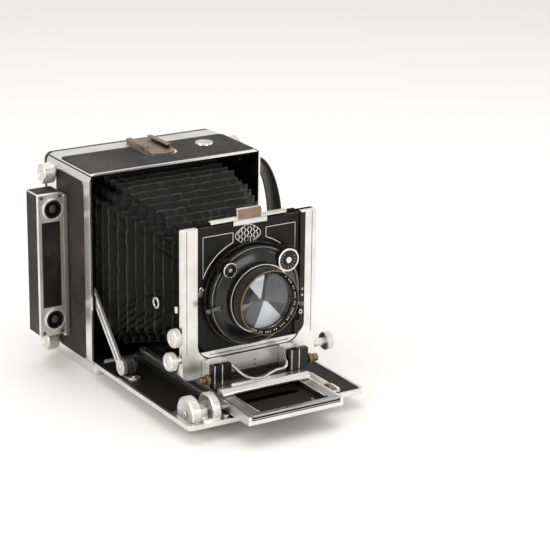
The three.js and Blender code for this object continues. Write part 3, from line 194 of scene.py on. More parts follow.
def spread(tree, value, low, high, to_low=0.0, to_high=1.0):
    """Map a value from one span to another, and clamp it."""
    inputs = {"Value": value, "From Min": low, "From Max": high}
    inputs |= {"To Min": to_low, "To Max": to_high}
    return node(tree, "ShaderNodeMapRange", inputs)


def mixed(tree, share, first, second):
    """Mix two colours, each a socket or three numbers."""
    first, second = ((*c, 1) if isinstance(c, tuple) else c for c in (first, second))
    return node(tree, "ShaderNodeMix", {0: share, 6: first, 7: second}, 2, data_type="RGBA")


def bumped(tree, height, distance, strength=1.0, normal=None):
    inputs = {"Height": height, "Distance": distance * MM, "Strength": strength}
    if normal:
        inputs["Normal"] = normal
    return node(tree, "ShaderNodeBump", inputs)


def edge_wear(tree, radius):
    """A rounded-edge normal, and a mask that is 1 where that normal leaves the flat one."""
    rounded = node(tree, "ShaderNodeBevel", {"Radius": radius * MM}, samples=4)
    both = {0: rounded, 1: node(tree, "ShaderNodeNewGeometry", output="Normal")}
    dot = node(tree, "ShaderNodeVectorMath", both, "Value", operation="DOT_PRODUCT")
    return rounded, spread(tree, dot, 0.99, 0.86)

# %% [markdown]
# ## Metal
# The frames are satin chrome over brass: bright, softly blurred, and a little yellow where
# grease has dulled them. One recipe serves all the metals, with its colours and its blur as
# arguments, because nickel, brass and steel differ only in those.
# %% Metal finishes
def metal(name, slot, colour, dull, rough, grain=(1, 1, 1), wear=0.35, edge=0.5):
    """A metal with smudges, fine scratches and brighter edges."""
    material, tree, shader, place = new_finish(name)
    smudge = spread(tree, noise(tree, place, 38, 4), 0.4, 0.68)
    scratch = noise(tree, place, 900, 2, 0.6, grain)
    rounded, edges = edge_wear(tree, edge)
    base = mixed(tree, maths(tree, "MULTIPLY", smudge, 0.55), colour, dull)
    bright = tuple(min(1, c * 1.12) for c in colour)
    rough_map = spread(tree, scratch, 0.3, 0.7, rough * 0.8, rough * 1.25)
    fill(tree, shader, {
        "Base Color": mixed(tree, maths(tree, "MULTIPLY", edges, wear), base, bright),
        "Roughness": maths(tree, "ADD", rough_map, maths(tree, "MULTIPLY", smudge, 0.06)),
        "Metallic": 1,
        "Normal": bumped(tree, scratch, 0.012, 0.5, rounded),
    })
    return material


def greys(light, dark):
    """Two neutral colours with a trace of blue."""
    return (light, light, light + 0.005), (dark, dark, dark + 0.005)


DRAWN = (1, 0.03, 1)  # scratches drawn out along the slides
satin_chrome = metal("satin_chrome", "satin_metal", (0.84, 0.83, 0.805), (0.6, 0.585, 0.55), 0.3)
knob_chrome = metal("knob_chrome", "satin_metal", (0.78, 0.76, 0.715), (0.56, 0.53, 0.47), 0.34)
polished_nickel = metal(
    "polished_nickel", "nickel_trim", (0.78, 0.765, 0.72), (0.5, 0.47, 0.42), 0.16
)
wire_steel = metal("wire_steel", "nickel_trim", (0.6, 0.595, 0.58), (0.4, 0.39, 0.37), 0.22)
aged_brass = metal(
    "aged_brass", "worn_brass", (0.25, 0.175, 0.112), (0.09, 0.055, 0.04), 0.32, wear=0.6
)
bronze_paint = metal(
    "bronze_paint", "worn_brass", (0.3, 0.215, 0.16), (0.14, 0.09, 0.065), 0.3, wear=1.0, edge=0.7
)
brushed_steel = metal(
    "brushed_steel", "steel_slides", (0.46, 0.46, 0.45), (0.26, 0.25, 0.24), 0.3, DRAWN
)
dark_steel = metal(
    "dark_steel", "steel_slides", (0.16, 0.16, 0.165), (0.08, 0.08, 0.08), 0.36, DRAWN
)
# Shutter-leaf steel in three brightnesses: painted highlight, painted half shade, painted shade.
leaf_painted_highlight = metal(
    "leaf_painted_highlight", "steel_slides", (0.82, 0.83, 0.84), (0.6, 0.6, 0.61), 0.42
)
leaf_painted_half_shade = metal("leaf_painted_half_shade", "steel_slides", *greys(0.24, 0.14), 0.42)
leaf_painted_shade = metal("leaf_painted_shade", "steel_slides", *greys(0.1, 0.05), 0.42)

# %% [markdown]
# ## Black lacquer
# The shutter, the lens board and the barrels are black-lacquered. Lacquer is a dark base under a
# glossy skin, worn to bare metal along its edges and dusty on its flats.
# %% Lacquer finishes
def lacquer(name, colour, rough, edge_colour, wear, coat=0.25, gloss=0.3):
    material, tree, shader, place = new_finish(name)
    rounded, edges = edge_wear(tree, 0.35)
    patch = spread(tree, noise(tree, place, 150, 5, 0.65), 0.42, 0.6)
    chipped = maths(tree, "MULTIPLY", maths(tree, "MULTIPLY", edges, patch), wear)
    dust = spread(tree, noise(tree, place, 60, 6, 0.7), 0.45, 0.75, 0.0, 0.5)
    base = mixed(tree, dust, colour, tuple(c * 1.8 + 0.008 for c in colour))
    fill(tree, shader, {
        "Base Color": mixed(tree, chipped, base, edge_colour),
        "Metallic": chipped,
        "Roughness": spread(tree, noise(tree, place, 240, 4), 0.3, 0.7, rough * 0.8, rough * 1.3),
        "Specular IOR Level": gloss,
        "Coat Weight": coat,
        "Coat Roughness": 0.12,
        "Normal": bumped(tree, noise(tree, place, 700, 2), 0.01, 0.6, rounded),
    })
    return material


BARE = (0.3, 0.28, 0.25)  # metal that shows where the black has worn off
black_lacquer = lacquer(
    "black_lacquer", (0.0045, 0.0043, 0.004), 0.28, (0.2, 0.145, 0.085), 0.45, 0.15, 0.25
)
board_black = lacquer("board_black", (0.005, 0.0048, 0.0046), 0.42, BARE, 0.6, 0.0, 0.2)
track_black = lacquer("track_black", (0.011, 0.0105, 0.01), 0.36, (0.5, 0.48, 0.45), 1.0, 0.15)
matt_black = lacquer("matt_black", (0.003,) * 3, 0.75, (0.05,) * 3, 0.4, 0.0, 0.05)
cover_enamel = lacquer("cover_enamel", (0.006, 0.0062, 0.0068), 0.2, BARE, 0.6, 0.3, 0.3)

# %% [markdown]
# ## Leather
# The body wears pebbled black leather, whose grain is a net of small raised cells. A Voronoi
# texture draws that net: the distance to the cell edges is the valley between the pebbles. The
# raised cells and the edges are lighter and shinier where hands have rubbed them; part of that
# lighter colour is a painted highlight on the pebble tops and edges.
# %% Leather finishes
def pebbled(name, colour, worn, cell, depth, rough, rubbed_and_highlit=0.35):
    """Leather whose grain has cells of a size and a depth in millimetres."""
    material, tree, shader, place = new_finish(name)
    warp = noise(tree, place, 260, 2)
    warp = node(tree, "ShaderNodeCombineXYZ", {0: warp, 1: warp, 2: warp})
    shaken = {0: warp, 1: (1.6 * MM,) * 3, 2: place}
    shaken = node(tree, "ShaderNodeVectorMath", shaken, operation="MULTIPLY_ADD")
    net = {"Vector": shaken, "Scale": 1 / (cell * MM)}
    cells = node(tree, "ShaderNodeTexVoronoi", net, "Distance", feature="DISTANCE_TO_EDGE")
    pebble = spread(tree, cells, 0.02, 0.32)
    rub = spread(tree, noise(tree, place, 22, 4), 0.45, 0.7, 0.0, rubbed_and_highlit)
    rounded, edges = edge_wear(tree, 0.4)
    # Lighter colour on rubbed pebble tops and on edges: wear, and partly a painted highlight.
    worn_and_highlit = maths(tree, "MULTIPLY", pebble, rub)
    worn_and_highlit = maths(tree, "ADD", worn_and_highlit, maths(tree, "MULTIPLY", edges, 0.25))
    fill(tree, shader, {
        "Base Color": mixed(tree, worn_and_highlit, colour, worn),
        "Roughness": spread(tree, worn_and_highlit, 0, 0.6, rough, rough * 0.72),
        "Specular IOR Level": 0.2,
        "Normal": bumped(tree, pebble, depth, 0.9, rounded),
    })
    return material


BLACK_HIDE = (0.006, 0.0055, 0.005)
body_leather = pebbled(
    "body_leather", (0.007, 0.0063, 0.0057), (0.13, 0.118, 0.1), 1.5, 0.34, 0.46, 0.75
)
strap_leather = pebbled("strap_leather", BLACK_HIDE, (0.05, 0.044, 0.038), 0.8, 0.08, 0.3)
bed_leather = pebbled("bed_leather", BLACK_HIDE, (0.04, 0.035, 0.03), 1.0, 0.2, 0.5)

# %% [markdown]
# ## Bellows leather
# Bellows are thin black goatskin over card ribs. The folds' outer edges are polished grey by
# years of opening, and that lighter grey is partly a painted highlight on the lit fold edges.
# The bellows mesh carries an attribute named ridge, 1 on those edges and 0 in the valleys, and
# this finish reads it, so that the wear and the painted highlight follow the folds when they
# stretch.
# %% Bellows finish
def folded_leather():
    material, tree, shader, place = new_finish("bellows_leather")
    ridge = node(tree, "ShaderNodeAttribute", None, "Fac", attribute_name="ridge")
    streak = spread(tree, noise(tree, place, 90, 5, 0.6), 0.35, 0.7, 0.1, 1.0)
    # Lighter ridges: rub wear, and partly a painted highlight along the lit fold edges.
    rubbed_and_highlit = maths(tree, "MULTIPLY", spread(tree, ridge, 0.86, 1.0), streak)
    fill(tree, shader, {
        "Base Color": mixed(tree, rubbed_and_highlit, (0.0035, 0.0034, 0.0034), (0.09, 0.086, 0.08)),
        "Roughness": spread(tree, rubbed_and_highlit, 0, 1, 0.46, 0.34),
        "Specular IOR Level": 0.2,
        "Normal": bumped(tree, noise(tree, place, 420, 4, 0.6), 0.12, 0.7),
    })
    return material


bellows_finish = folded_leather()

# %% [markdown]
# ## Glass, ground glass and paint
# The front element is clear, with a thin coat of reflection; the viewfinder windows are small
# and dark behind, so a tinted glossy glass is enough. The engraved lines on the lens board are
# filled with white paint, which has settled unevenly.
# %% Glass and paint
def clear_glass(name, tint, transmission, rough):
    material, tree, shader, place = new_finish(name)
    haze = spread(tree, noise(tree, place, 55, 5, 0.65), 0.35, 0.75, rough, rough + 0.03)
    fill(tree, shader, {
        "Base Color": (*tint, 1),
        "Roughness": haze,
        "Transmission Weight": transmission,
        "IOR": 1.5,
    })
    return material


def paint(name, colour, rough):
    material, tree, shader, place = new_finish(name)
    uneven = spread(tree, noise(tree, place, 500, 4, 0.7), 0.3, 0.7)
    fill(tree, shader, {
        "Base Color": mixed(tree, uneven, tuple(c * 0.72 for c in colour), colour),
        "Roughness": rough,
        "Normal": bumped(tree, uneven, 0.02, 0.5),
    })
    return material


lens_glass = clear_glass("lens_glass", (0.93, 0.95, 0.97), 1.0, 0.0)
window_glass = clear_glass("window_glass", (0.02, 0.022, 0.025), 0.0, 0.05)
screen_glass = clear_glass("screen_glass", (0.75, 0.78, 0.78), 0.55, 0.5)
line_white = paint("line_white", (0.78, 0.77, 0.72), 0.5)
thread_black = paint("thread_black", (0.16, 0.15, 0.135), 0.6)
ivory_paint = paint("ivory_paint", (0.72, 0.68, 0.58), 0.45)

# %% [markdown]
# ## Ways to make a piece
# Three helpers cover most of the metalwork. One turns a profile on a lathe, one softens the
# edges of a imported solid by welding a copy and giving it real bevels, and one makes a bevelled
# box. Each ends by handing the piece to its moving body, so no piece is left behind.
# %% Putting a piece in the scene
def shade_by_angle(mesh, degrees=35):
    """Smooth faces, with sharp edges where two faces meet at more than an angle."""
    made = bmesh.new()
    made.from_mesh(mesh)
    limit = math.radians(degrees)
    for face in made.faces:
        face.smooth = True
    for edge in made.edges:
        edge.smooth = len(edge.link_faces) == 2 and edge.calc_face_angle(0) < limit
    made.to_mesh(mesh)
    made.free()


def place_piece(obj, body, material, replaced=()):
    """Give a finished mesh its material, its body and the nodes it stands for."""
    if obj.name not in bpy.context.scene.collection.all_objects:
        bpy.context.scene.collection.objects.link(obj)
    if not obj.data.materials:
        obj.data.materials.append(material)
    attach(obj, body)
    if replaced:
        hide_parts(*replaced)
    return obj


def pattern(name, made):
    """Turn a bmesh into an object that is out of the scene, with its faces outward."""
    bmesh.ops.recalc_face_normals(made, faces=made.faces)
    mesh = bpy.data.meshes.new(name)
    made.to_mesh(mesh)
    made.free()
    return bpy.data.objects.new(name, mesh)


def from_bmesh(name, made, degrees=35):
    obj = pattern(name, made)
    shade_by_angle(obj.data, degrees)
    return obj

# %% Rings, lathe and bevel
AXES = {
    "x": Matrix(((0, 0, 1), (1, 0, 0), (0, 1, 0))),
    "y": Matrix(((1, 0, 0), (0, 0, 1), (0, 1, 0))),
    "z": Matrix.Identity(3),
}


def add_ring(made, points):
    """Vertices at points in millimetres."""
    return [made.verts.new(Vector(point) * MM) for point in points]


def join_rings(made, rings, skip=()):
    """Faces between each ring of vertices and the next, apart from some places round it."""
    for here, after in zip(rings, rings[1:]):
        for i in range(len(here)):
            j = (i + 1) % len(here)
            if i not in skip:
                made.faces.new((here[i], here[j], after[j], after[i]))


def close_rings(made, rings):
    """A solid from rings, with a face over the first and over the last."""
    join_rings(made, rings)
    made.faces.new(rings[0])
    made.faces.new(rings[-1])


def lathe(profile, steps, centre=(0, 0, 0), axis="z"):
    """Spin a closed profile of (radius, distance along the axis) in millimetres."""
    made = bmesh.new()
    rings = []
    for i in range(steps):
        angle = math.tau * i / steps
        across = Vector((math.cos(angle), math.sin(angle), 0))
        spun = [AXES[axis] @ (across * r + Vector((0, 0, d))) for r, d in profile]
        rings.append(add_ring(made, [Vector(centre) + point for point in spun]))
    radii = [r for r, _ in profile]
    on_axis = {i for i, (a, b) in enumerate(zip(radii, radii[1:] + radii[:1])) if not (a or b)}
    join_rings(made, [*rings, rings[0]], on_axis)
    return made


def turn(name, profile, centre, axis, steps, body, material, replaced=()):
    """A turned piece, from a profile and a place in millimetres."""
    made = lathe(profile, steps, centre, axis)
    bmesh.ops.remove_doubles(made, verts=made.verts, dist=1e-7)
    return place_piece(from_bmesh(name, made), body, material, replaced)


def bevel_edges(made, width, segments=2, degrees=30):
    limit = math.radians(degrees)
    sharp = [e for e in made.edges if len(e.link_faces) == 2 and e.calc_face_angle(0) > limit]
    bmesh.ops.bevel(
        made, geom=sharp, offset=width * MM, segments=segments, affect="EDGES", profile=0.5,
        clamp_overlap=True,
    )


def block(size, bevel, segments=2):
    """A box of a size in millimetres, centred on the origin."""
    made = bmesh.new()
    bmesh.ops.create_cube(made, size=1)
    for vert in made.verts:
        vert.co = Vector(a * b for a, b in zip(vert.co, size)) * MM
    if bevel:
        bevel_edges(made, bevel, segments)
    return made


def slab(name, low, high, body, material, bevel=0.3, turn_by=None):
    """A bevelled box between two corners in millimetres."""
    made = block(Vector(high) - Vector(low), bevel)
    if turn_by:
        made.transform(turn_by.to_4x4())
    made.transform(Matrix.Translation((Vector(high) + Vector(low)) / 2 * MM))
    return place_piece(from_bmesh(name, made), body, material)

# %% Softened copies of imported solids
LARGE_FLAT = 150  # square millimetres; a larger face is a flat, and smoothing would shade it


def bisect(made, direction, place, **clear):
    """Cut a mesh with a plane across a direction, at a place in millimetres."""
    bmesh.ops.bisect_plane(
        made, geom=made.verts[:] + made.edges[:] + made.faces[:],
        plane_co=direction * place * MM, plane_no=direction, **clear,
    )


def soften(node_name, width, material, degrees=30, cuts=()):
    """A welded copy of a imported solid, with rounded edges, in place of the solid.

    cuts: (axis, place in millimetres) pairs, where faces are split so that two finishes can meet.
    """
    source = nodes[node_name]
    made = bmesh.new()
    made.from_mesh(source.data)
    bmesh.ops.remove_doubles(made, verts=made.verts, dist=2e-6)
    bmesh.ops.dissolve_limit(
        made, angle_limit=math.radians(1.5), verts=made.verts, edges=made.edges
    )
    bevel_edges(made, width, 2, degrees)
    for axis, place in cuts:
        bisect(made, Vector(1 if axis == letter else 0 for letter in "xyz"), place)
    piece = from_bmesh(node_name + "_finished", made, 40)
    for face in piece.data.polygons:
        if face.area > LARGE_FLAT * MM * MM:
            face.use_smooth = False
    return place_piece(piece, source["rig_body"], material, (node_name,))


def paint_faces(obj, material, test):
    """Give a second finish to the faces whose centre (in millimetres) and normal pass a test."""
    obj.data.materials.append(material)
    index = len(obj.data.materials) - 1
    for face in obj.data.polygons:
        if test(face.center / MM, face.normal):
            face.material_index = index


def span(node_name):
    """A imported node's lowest and highest corners, in millimetres."""
    low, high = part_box(node_name)
    return low / MM, high / MM


def middle_of(node_name):
    low, high = span(node_name)
    return (low + high) / 2

# %% [markdown]
# ## Things that repeat, as Geometry Nodes
# Screws, ridges, stitches and scale marks are one small shape at many places. A node tree holds
# that idea better than a Python loop: the places come in as points with a direction, and the
# small shape comes in as an object. The tree ends with Realize Instances, and its result is
# then turned into a plain mesh.
# %% A tree that puts a shape on points
def new_tree(name, inputs):
    tree = bpy.data.node_groups.new(name, "GeometryNodeTree")
    tree.interface.new_socket("Geometry", in_out="INPUT", socket_type="NodeSocketGeometry")
    for label, kind, value in inputs:
        socket = tree.interface.new_socket(label, in_out="INPUT", socket_type="NodeSocket" + kind)
        if value is not None:
            socket.default_value = value
    tree.interface.new_socket("Geometry", in_out="OUTPUT", socket_type="NodeSocketGeometry")
    return tree, tree.nodes.new("NodeGroupInput").outputs


def finish_tree(tree, geometry, material):
    realized = node(tree, "GeometryNodeRealizeInstances", {"Geometry": geometry})
    painted = {"Geometry": realized, "Material": material}
    painted = node(tree, "GeometryNodeSetMaterial", painted)
    fill(tree, tree.nodes.new("NodeGroupOutput"), {"Geometry": painted})


def scatter_tree():
    """Instances of Shape on every point, turned by the point's own rotation."""
    inputs = [("Shape", "Object", None), ("Finish", "Material", None)]
    tree, given = new_tree("shape_on_points", inputs)
    shape = node(tree, "GeometryNodeObjectInfo", {"Object": given["Shape"]}, "Geometry")
    turned = {"Name": "turned"}
    turned = node(tree, "GeometryNodeInputNamedAttribute", turned, data_type="FLOAT_VECTOR")
    placed = {"Points": given["Geometry"], "Instance": shape, "Rotation": turned}
    finish_tree(tree, node(tree, "GeometryNodeInstanceOnPoints", placed), given["Finish"])
    return tree


def grow(name, tree, values, source_mesh):
    """Run a tree on a mesh and return the result as a new, plain object."""
    holder = bpy.data.objects.new(name + "_holder", source_mesh)
    bpy.context.scene.collection.objects.link(holder)
    modifier = holder.modifiers.new("grow", "NODES")
    modifier.node_group = tree
    for item in tree.interface.items_tree:
        if item.item_type == "SOCKET" and item.in_out == "INPUT" and item.name in values:
            modifier[item.identifier] = values[item.name]
    holder.update_tag()
    graph = bpy.context.evaluated_depsgraph_get()
    graph.update()
    mesh = bpy.data.meshes.new_from_object(holder.evaluated_get(graph))
    mesh.name = name
    bpy.data.objects.remove(holder)
    return bpy.data.objects.new(name, mesh)


on_points = scatter_tree()


def scatter(name, shape, spots, body, material):
    """spots: (place in millimetres, rotation as Euler angles) for each copy of the shape."""
    mesh = bpy.data.meshes.new(name + "_points")
    mesh.from_pydata([Vector(place) * MM for place, _ in spots], [], [])
    turned = mesh.attributes.new("turned", "FLOAT_VECTOR", "POINT")
    for i, (_, angles) in enumerate(spots):
        turned.data[i].vector = angles
    made = grow(name, on_points, {"Shape": shape, "Finish": material}, mesh)
    shade_by_angle(made.data)
    return place_piece(made, body, material)

# %% Small shapes that are used many times
def screw_shape(name, radius, height, slot_width):
    """A slotted screw head that faces +Z: two half discs on a lower disc."""
    made = bmesh.new()
    steps = 9
    crown = radius * 0.86
    reach = math.asin(slot_width / radius)
    angles = [reach + (math.pi - 2 * reach) * i / steps for i in range(steps + 1)]
    for side in (1, -1):
        low = [Vector((radius * math.cos(a), side * radius * math.sin(a), 0)) for a in angles]
        middle = [v + Vector((0, 0, height * 0.6)) for v in low]
        top = [
            (crown * math.cos(a), side * max(slot_width, crown * math.sin(a)), height)
            for a in angles
        ]
        close_rings(made, [add_ring(made, ring) for ring in (low, middle, top)])
    foot = radius * 0.97
    close_rings(made, [
        add_ring(made, [
            (foot * math.cos(a), foot * math.sin(a), h)
            for a in (math.tau * i / 14 for i in range(14))
        ])
        for h in (0, height * 0.35)
    ])
    return pattern(name, made)


def bar_shape(name, size, bevel=0.1):
    """A small bevelled bar, centred, in millimetres."""
    return pattern(name, block(size, bevel, 1))


small_screw = screw_shape("small_screw", 1.7, 0.7, 0.3)
large_screw = screw_shape("large_screw", 2.6, 1.0, 0.42)
eyelet = pattern("eyelet", lathe([(1.0, 0), (1.0, 0.63), (1.65, 0.9), (2.3, 0)], 20))
FACE_FRONT = (math.pi / 2, 0, 0)
FACE_BACK = (-math.pi / 2, 0, 0)
FACE_LEFT = (0, -math.pi / 2, 0)
FACE_RIGHT = (0, math.pi / 2, 0)
FACE_UP = (0, 0, 0)


def screws(name, shape, places, facing, body, material=polished_nickel):
    """Copies of a small shape that all face one way."""
    return scatter(name, shape, [(place, facing) for place in places], body, material)


def on_circle(centre, radius, angle, y):
    """A place on a circle that looks forward, and the turn that points a mark at its centre."""
    place = (centre.x + radius * math.cos(angle), y, centre.z + radius * math.sin(angle))
    return place, (0, math.pi / 2 - angle, 0)


print("patterns: screws and eyelet")

# %% [markdown]
# ## Bellows
# The bellows is one long tapered tube of sharp folds. Its shape follows a rule: at each place
# along the axis there is a width, a height and a fold depth that swings like a triangle wave,
# and on the cut corners it swings the other way, which gives the diamond facets that let card
# ribs fold flat. So a single tree makes it. The tree sweeps a square with cut corners along a
# line, moves every point by the rule, and stores how near the point is to a fold's outer edge.
# %% The bellows rule as a tree
bellows_low, bellows_high = span("bellows")
shell_low, shell_high = span("body_shell")
BODY_DEPTH = 80
body_low = shell_high.y - BODY_DEPTH
lens_height = middle_of("front_barrel").z
LENS = Vector((0, 0, lens_height))
MOUTH = body_low - 4  # where the bellows leaves the body
PITCH, DEPTH = 10.6, 8.5
# half width, half height and middle height at the rear, at the mouth and at the front
HALF_WIDTHS = (bellows_high.x, 69, bellows_high.x * 40 / 71)
HALF_HEIGHTS = (74, 70.5, 40)
MIDDLES = (98, 97.5, lens_height)


def bellows_tree():
    tree, given = new_tree("bellows_folds", [
        ("Rear", "Float", bellows_high.y * MM),
        ("Mouth", "Float", MOUTH * MM),
        ("Front", "Float", bellows_low.y * MM),
        ("Pitch", "Float", PITCH * MM),
        ("Depth", "Float", DEPTH * MM),
        ("Steps", "Int", 129),
        ("Finish", "Material", None),
    ])
    start = node(tree, "ShaderNodeCombineXYZ", {"Y": given["Rear"]})
    end = node(tree, "ShaderNodeCombineXYZ", {"Y": given["Front"]})
    spine = node(tree, "GeometryNodeCurvePrimitiveLine", {"Start": start, "End": end})
    spine = node(tree, "GeometryNodeResampleCurve", {"Curve": spine, "Count": given["Steps"]})
    square = node(tree, "GeometryNodeCurvePrimitiveQuadrilateral", {"Width": 2.0, "Height": 2.0})
    square = {"Curve": square, "Count": 1, "Radius": 0.2}
    square = node(tree, "GeometryNodeFilletCurve", square, mode="POLY")
    square = node(tree, "GeometryNodeResampleCurve", {"Curve": square, "Count": 136})
    tube = node(tree, "GeometryNodeCurveToMesh", {"Curve": spine, "Profile Curve": square})
    place = node(tree, "GeometryNodeInputPosition")
    unit_x, along, unit_z = (node(tree, "ShaderNodeSeparateXYZ", {0: place}, i) for i in range(3))

    def calc(operation, *values):
        return maths(tree, operation, *values)

    def between(sizes):
        """A value that runs straight from rear to mouth, then from mouth to front."""
        at_rear, at_mouth, at_front = (size * MM for size in sizes)
        inside = spread(tree, along, given["Rear"], given["Mouth"], at_rear, at_mouth)
        outside = spread(tree, along, given["Mouth"], given["Front"], 0.0, at_front - at_mouth)
        return calc("ADD", inside, outside)

    travelled = calc("DIVIDE", calc("SUBTRACT", given["Rear"], along), given["Pitch"])
    fold = calc("MULTIPLY", calc("PINGPONG", travelled, 0.5), 2.0)
    corner = calc("MINIMUM", calc("ABSOLUTE", unit_x), calc("ABSOLUTE", unit_z))
    corner = calc("MULTIPLY", spread(tree, corner, 0.8, 0.88), 0.8)
    opposite = calc("SUBTRACT", calc("SUBTRACT", 1.0, fold), fold)
    fold = calc("MULTIPLY_ADD", opposite, corner, fold)
    crease = {"Vector": place, "Scale": 26.0, "Detail": 2.0}
    crease = node(tree, "ShaderNodeTexNoise", crease, "Fac")
    sag = calc("MULTIPLY_ADD", crease, 5 * MM, -2.5 * MM)
    inset = calc("ADD", calc("MULTIPLY", fold, given["Depth"]), calc("ABSOLUTE", sag))
    x = calc("MULTIPLY", unit_x, calc("SUBTRACT", between(HALF_WIDTHS), inset))
    y = calc("ADD", along, calc("MULTIPLY", sag, 0.8))
    z = calc("MULTIPLY", unit_z, calc("SUBTRACT", between(HALF_HEIGHTS), inset))
    moved = {0: x, 1: y, 2: calc("ADD", z, between(MIDDLES))}
    moved = node(tree, "ShaderNodeCombineXYZ", moved)
    stored = {"Geometry": tube, "Name": "ridge", "Value": calc("SUBTRACT", 1.0, fold)}
    stored = node(
        tree, "GeometryNodeStoreNamedAttribute", stored, data_type="FLOAT", domain="POINT"
    )
    shaped = node(tree, "GeometryNodeSetPosition", {"Geometry": stored, "Position": moved})
    finish_tree(tree, shaped, given["Finish"])
    return tree


empty_mesh = bpy.data.meshes.new("nothing")
whole_bellows = grow("bellows_whole", bellows_tree(), {"Finish": bellows_finish}, empty_mesh)
print("bellows:", len(whole_bellows.data.vertices), "points")

# %% [markdown]
# The bellows crosses six joints, one after another, and a blended piece can cross only one. So
# the tube is cut into six short rings at the places where one joint's share ends and the next
# begins. Neighbouring rings meet on the same points.
# %% Cutting the bellows into rings
RING_ENDS = [body_low - 2, body_low - 18, body_low - 30, body_low - 70, body_low - 88]


def cut_ring(index, near, far):
    """Keep the part of the tube between two places along Y. The leather is too thin to show."""
    made = bmesh.new()
    made.from_mesh(whole_bellows.data)
    bisect(made, Vector((0, 1, 0)), near, clear_outer=True)
    bisect(made, Vector((0, 1, 0)), far, clear_inner=True)
    mesh = bpy.data.meshes.new("bellows_ring")
    made.to_mesh(mesh)
    made.free()
    for face in mesh.polygons:
        face.use_smooth = False
    mesh.materials.clear()
    mesh.materials.append(bellows_finish)
    ring = bpy.data.objects.new("bellows_ring_%d" % index, mesh)
    bpy.context.scene.collection.objects.link(ring)
    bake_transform(ring)
    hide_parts("bellows")


ring_limits = [bellows_high.y + 1, *RING_ENDS, bellows_low.y - 1]
for i, (near, far) in enumerate(zip(ring_limits, ring_limits[1:])):
    cut_ring(i, near, far)
bpy.data.objects.remove(whole_bellows)
print("bellows rings:", len(ring_limits) - 1)

# %% [markdown]
# ## The body
# The body is a cast metal box whose inside is black against stray light. The same shell carries
# both finishes, so its faces are painted by where they are: whatever lies inside the walls and
# behind the front rim is black.
# %% Shell, base and leather
WALL = 3.2
RIM = 1.7  # the bright part of the front rim; inside it the rim is black
rim_low, rim_high = shell_low + Vector((RIM,) * 3), shell_high - Vector((RIM,) * 3)
rim_cuts = (("x", rim_low.x), ("x", rim_high.x), ("z", rim_low.z), ("z", rim_high.z))
shell = soften("body_shell", 0.7, satin_chrome, cuts=rim_cuts)


def inside_rim(at, facing):
    """Whatever lies inside the bright rim, apart from the outside of the rear face."""
    return abs(at.x) < rim_high.x and rim_low.z < at.z < rim_high.z and at.y < shell_high.y - 1


paint_faces(shell, matt_black, inside_rim)
soften("base_block", 0.9, satin_chrome)
soften("bed_foot", 0.8, satin_chrome)
for skin in ("top_leather", "left_leather", "right_leather"):
    soften(skin, 0.28, body_leather)
soften("accessory_shoe", 0.3, bronze_paint)
print("body: shell, base and leather")

# %% [markdown]
# ## Release button
# The bed is let go by a domed nickel button in the top. It is a turned part, so a lathe profile
# is the natural way to make it: we give the radius at each height and spin it.
# %% Release button
button_top = span("release_button")[1].z
button_middle = middle_of("release_button")
button_radius = 8.2
inner_top = shell_high.z - WALL
turn(
    "release_button_finished",
    [
        (0, inner_top - 2.2), (9.5, inner_top - 2.2), (9.5, inner_top - 0.6),
        (button_radius, inner_top - 0.5), (button_radius, button_top - 1.6),
        (button_radius * 0.95, button_top - 1.0), (button_radius * 0.75, button_top - 0.5),
        (button_radius * 0.4, button_top - 0.15), (0, button_top),
    ],
    (button_middle.x, button_middle.y, 0), "z", 48, "release_button_body", polished_nickel,
    ("release_button",),
)

# %% [markdown]
# ## Hand strap
# A leather band bows out from the right side, held by a nickel plate and two screws at each end.
# Its route is a formula, the cosine of the place along it raised to a power below one, which
# leaves the side steeply and flattens in the middle as stiff leather does. A row of stitches
# follows each edge, and the node tree puts them there.
# %% Strap
strap_low, strap_high = span("hand_strap")
STRAP_HALF_WIDTH = 11
STRAP_HALF_THICK = 1.6
STRAP_TAB = 6
STRAP_STEPS = 56
BOW_POWER = 0.5
flat_x = strap_low.x + STRAP_HALF_THICK
strap_centre_y = (strap_low.y + strap_high.y) / 2
strap_bow = strap_high.x - strap_low.x - 2 * STRAP_HALF_THICK
strap_middle = (strap_low.z + strap_high.z) / 2
strap_half = (strap_high.z - strap_low.z) / 2 - STRAP_TAB - STRAP_HALF_THICK


def strap_point(turn_share):
    """A point of the band's middle line, for a share from -1 at the bottom to 1 at the top."""
    share = math.sin(turn_share * math.pi / 2)
    reach = strap_bow * max(0.0, math.cos(share * math.pi / 2)) ** BOW_POWER
    return Vector((flat_x + reach, 0, strap_middle + share * strap_half))


bow = [strap_point(-1 + 2 * i / STRAP_STEPS) for i in range(STRAP_STEPS + 1)]
strap_line = [
    Vector((flat_x, 0, strap_low.z + 0.1)), Vector((flat_x, 0, bow[0].z - 2)), *bow,
    Vector((flat_x, 0, bow[-1].z + 2)), Vector((flat_x, 0, strap_high.z - 0.1)),
]


def outward(i):
    """The direction away from the body, square to the band at a point, and the one along it."""
    after, before = strap_line[min(i + 1, len(strap_line) - 1)], strap_line[max(i - 1, 0)]
    along = (after - before).normalized()
    return Vector((along.z, 0, -along.x)), along


def strap_band():
    w, t, soft = STRAP_HALF_WIDTH, STRAP_HALF_THICK, 0.7
    section = [
        (-w + soft, -t), (w - soft, -t), (w, -t + soft), (w, t - soft),
        (w - soft, t), (-w + soft, t), (-w, t - soft), (-w, -t + soft),
    ]
    made = bmesh.new()
    rings = []
    for i, point in enumerate(strap_line):
        out, _ = outward(i)
        ring = [point + out * b + Vector((0, strap_centre_y + a, 0)) for a, b in section]
        rings.append(add_ring(made, ring))
    close_rings(made, rings)
    return from_bmesh("hand_strap_finished", made, 50)


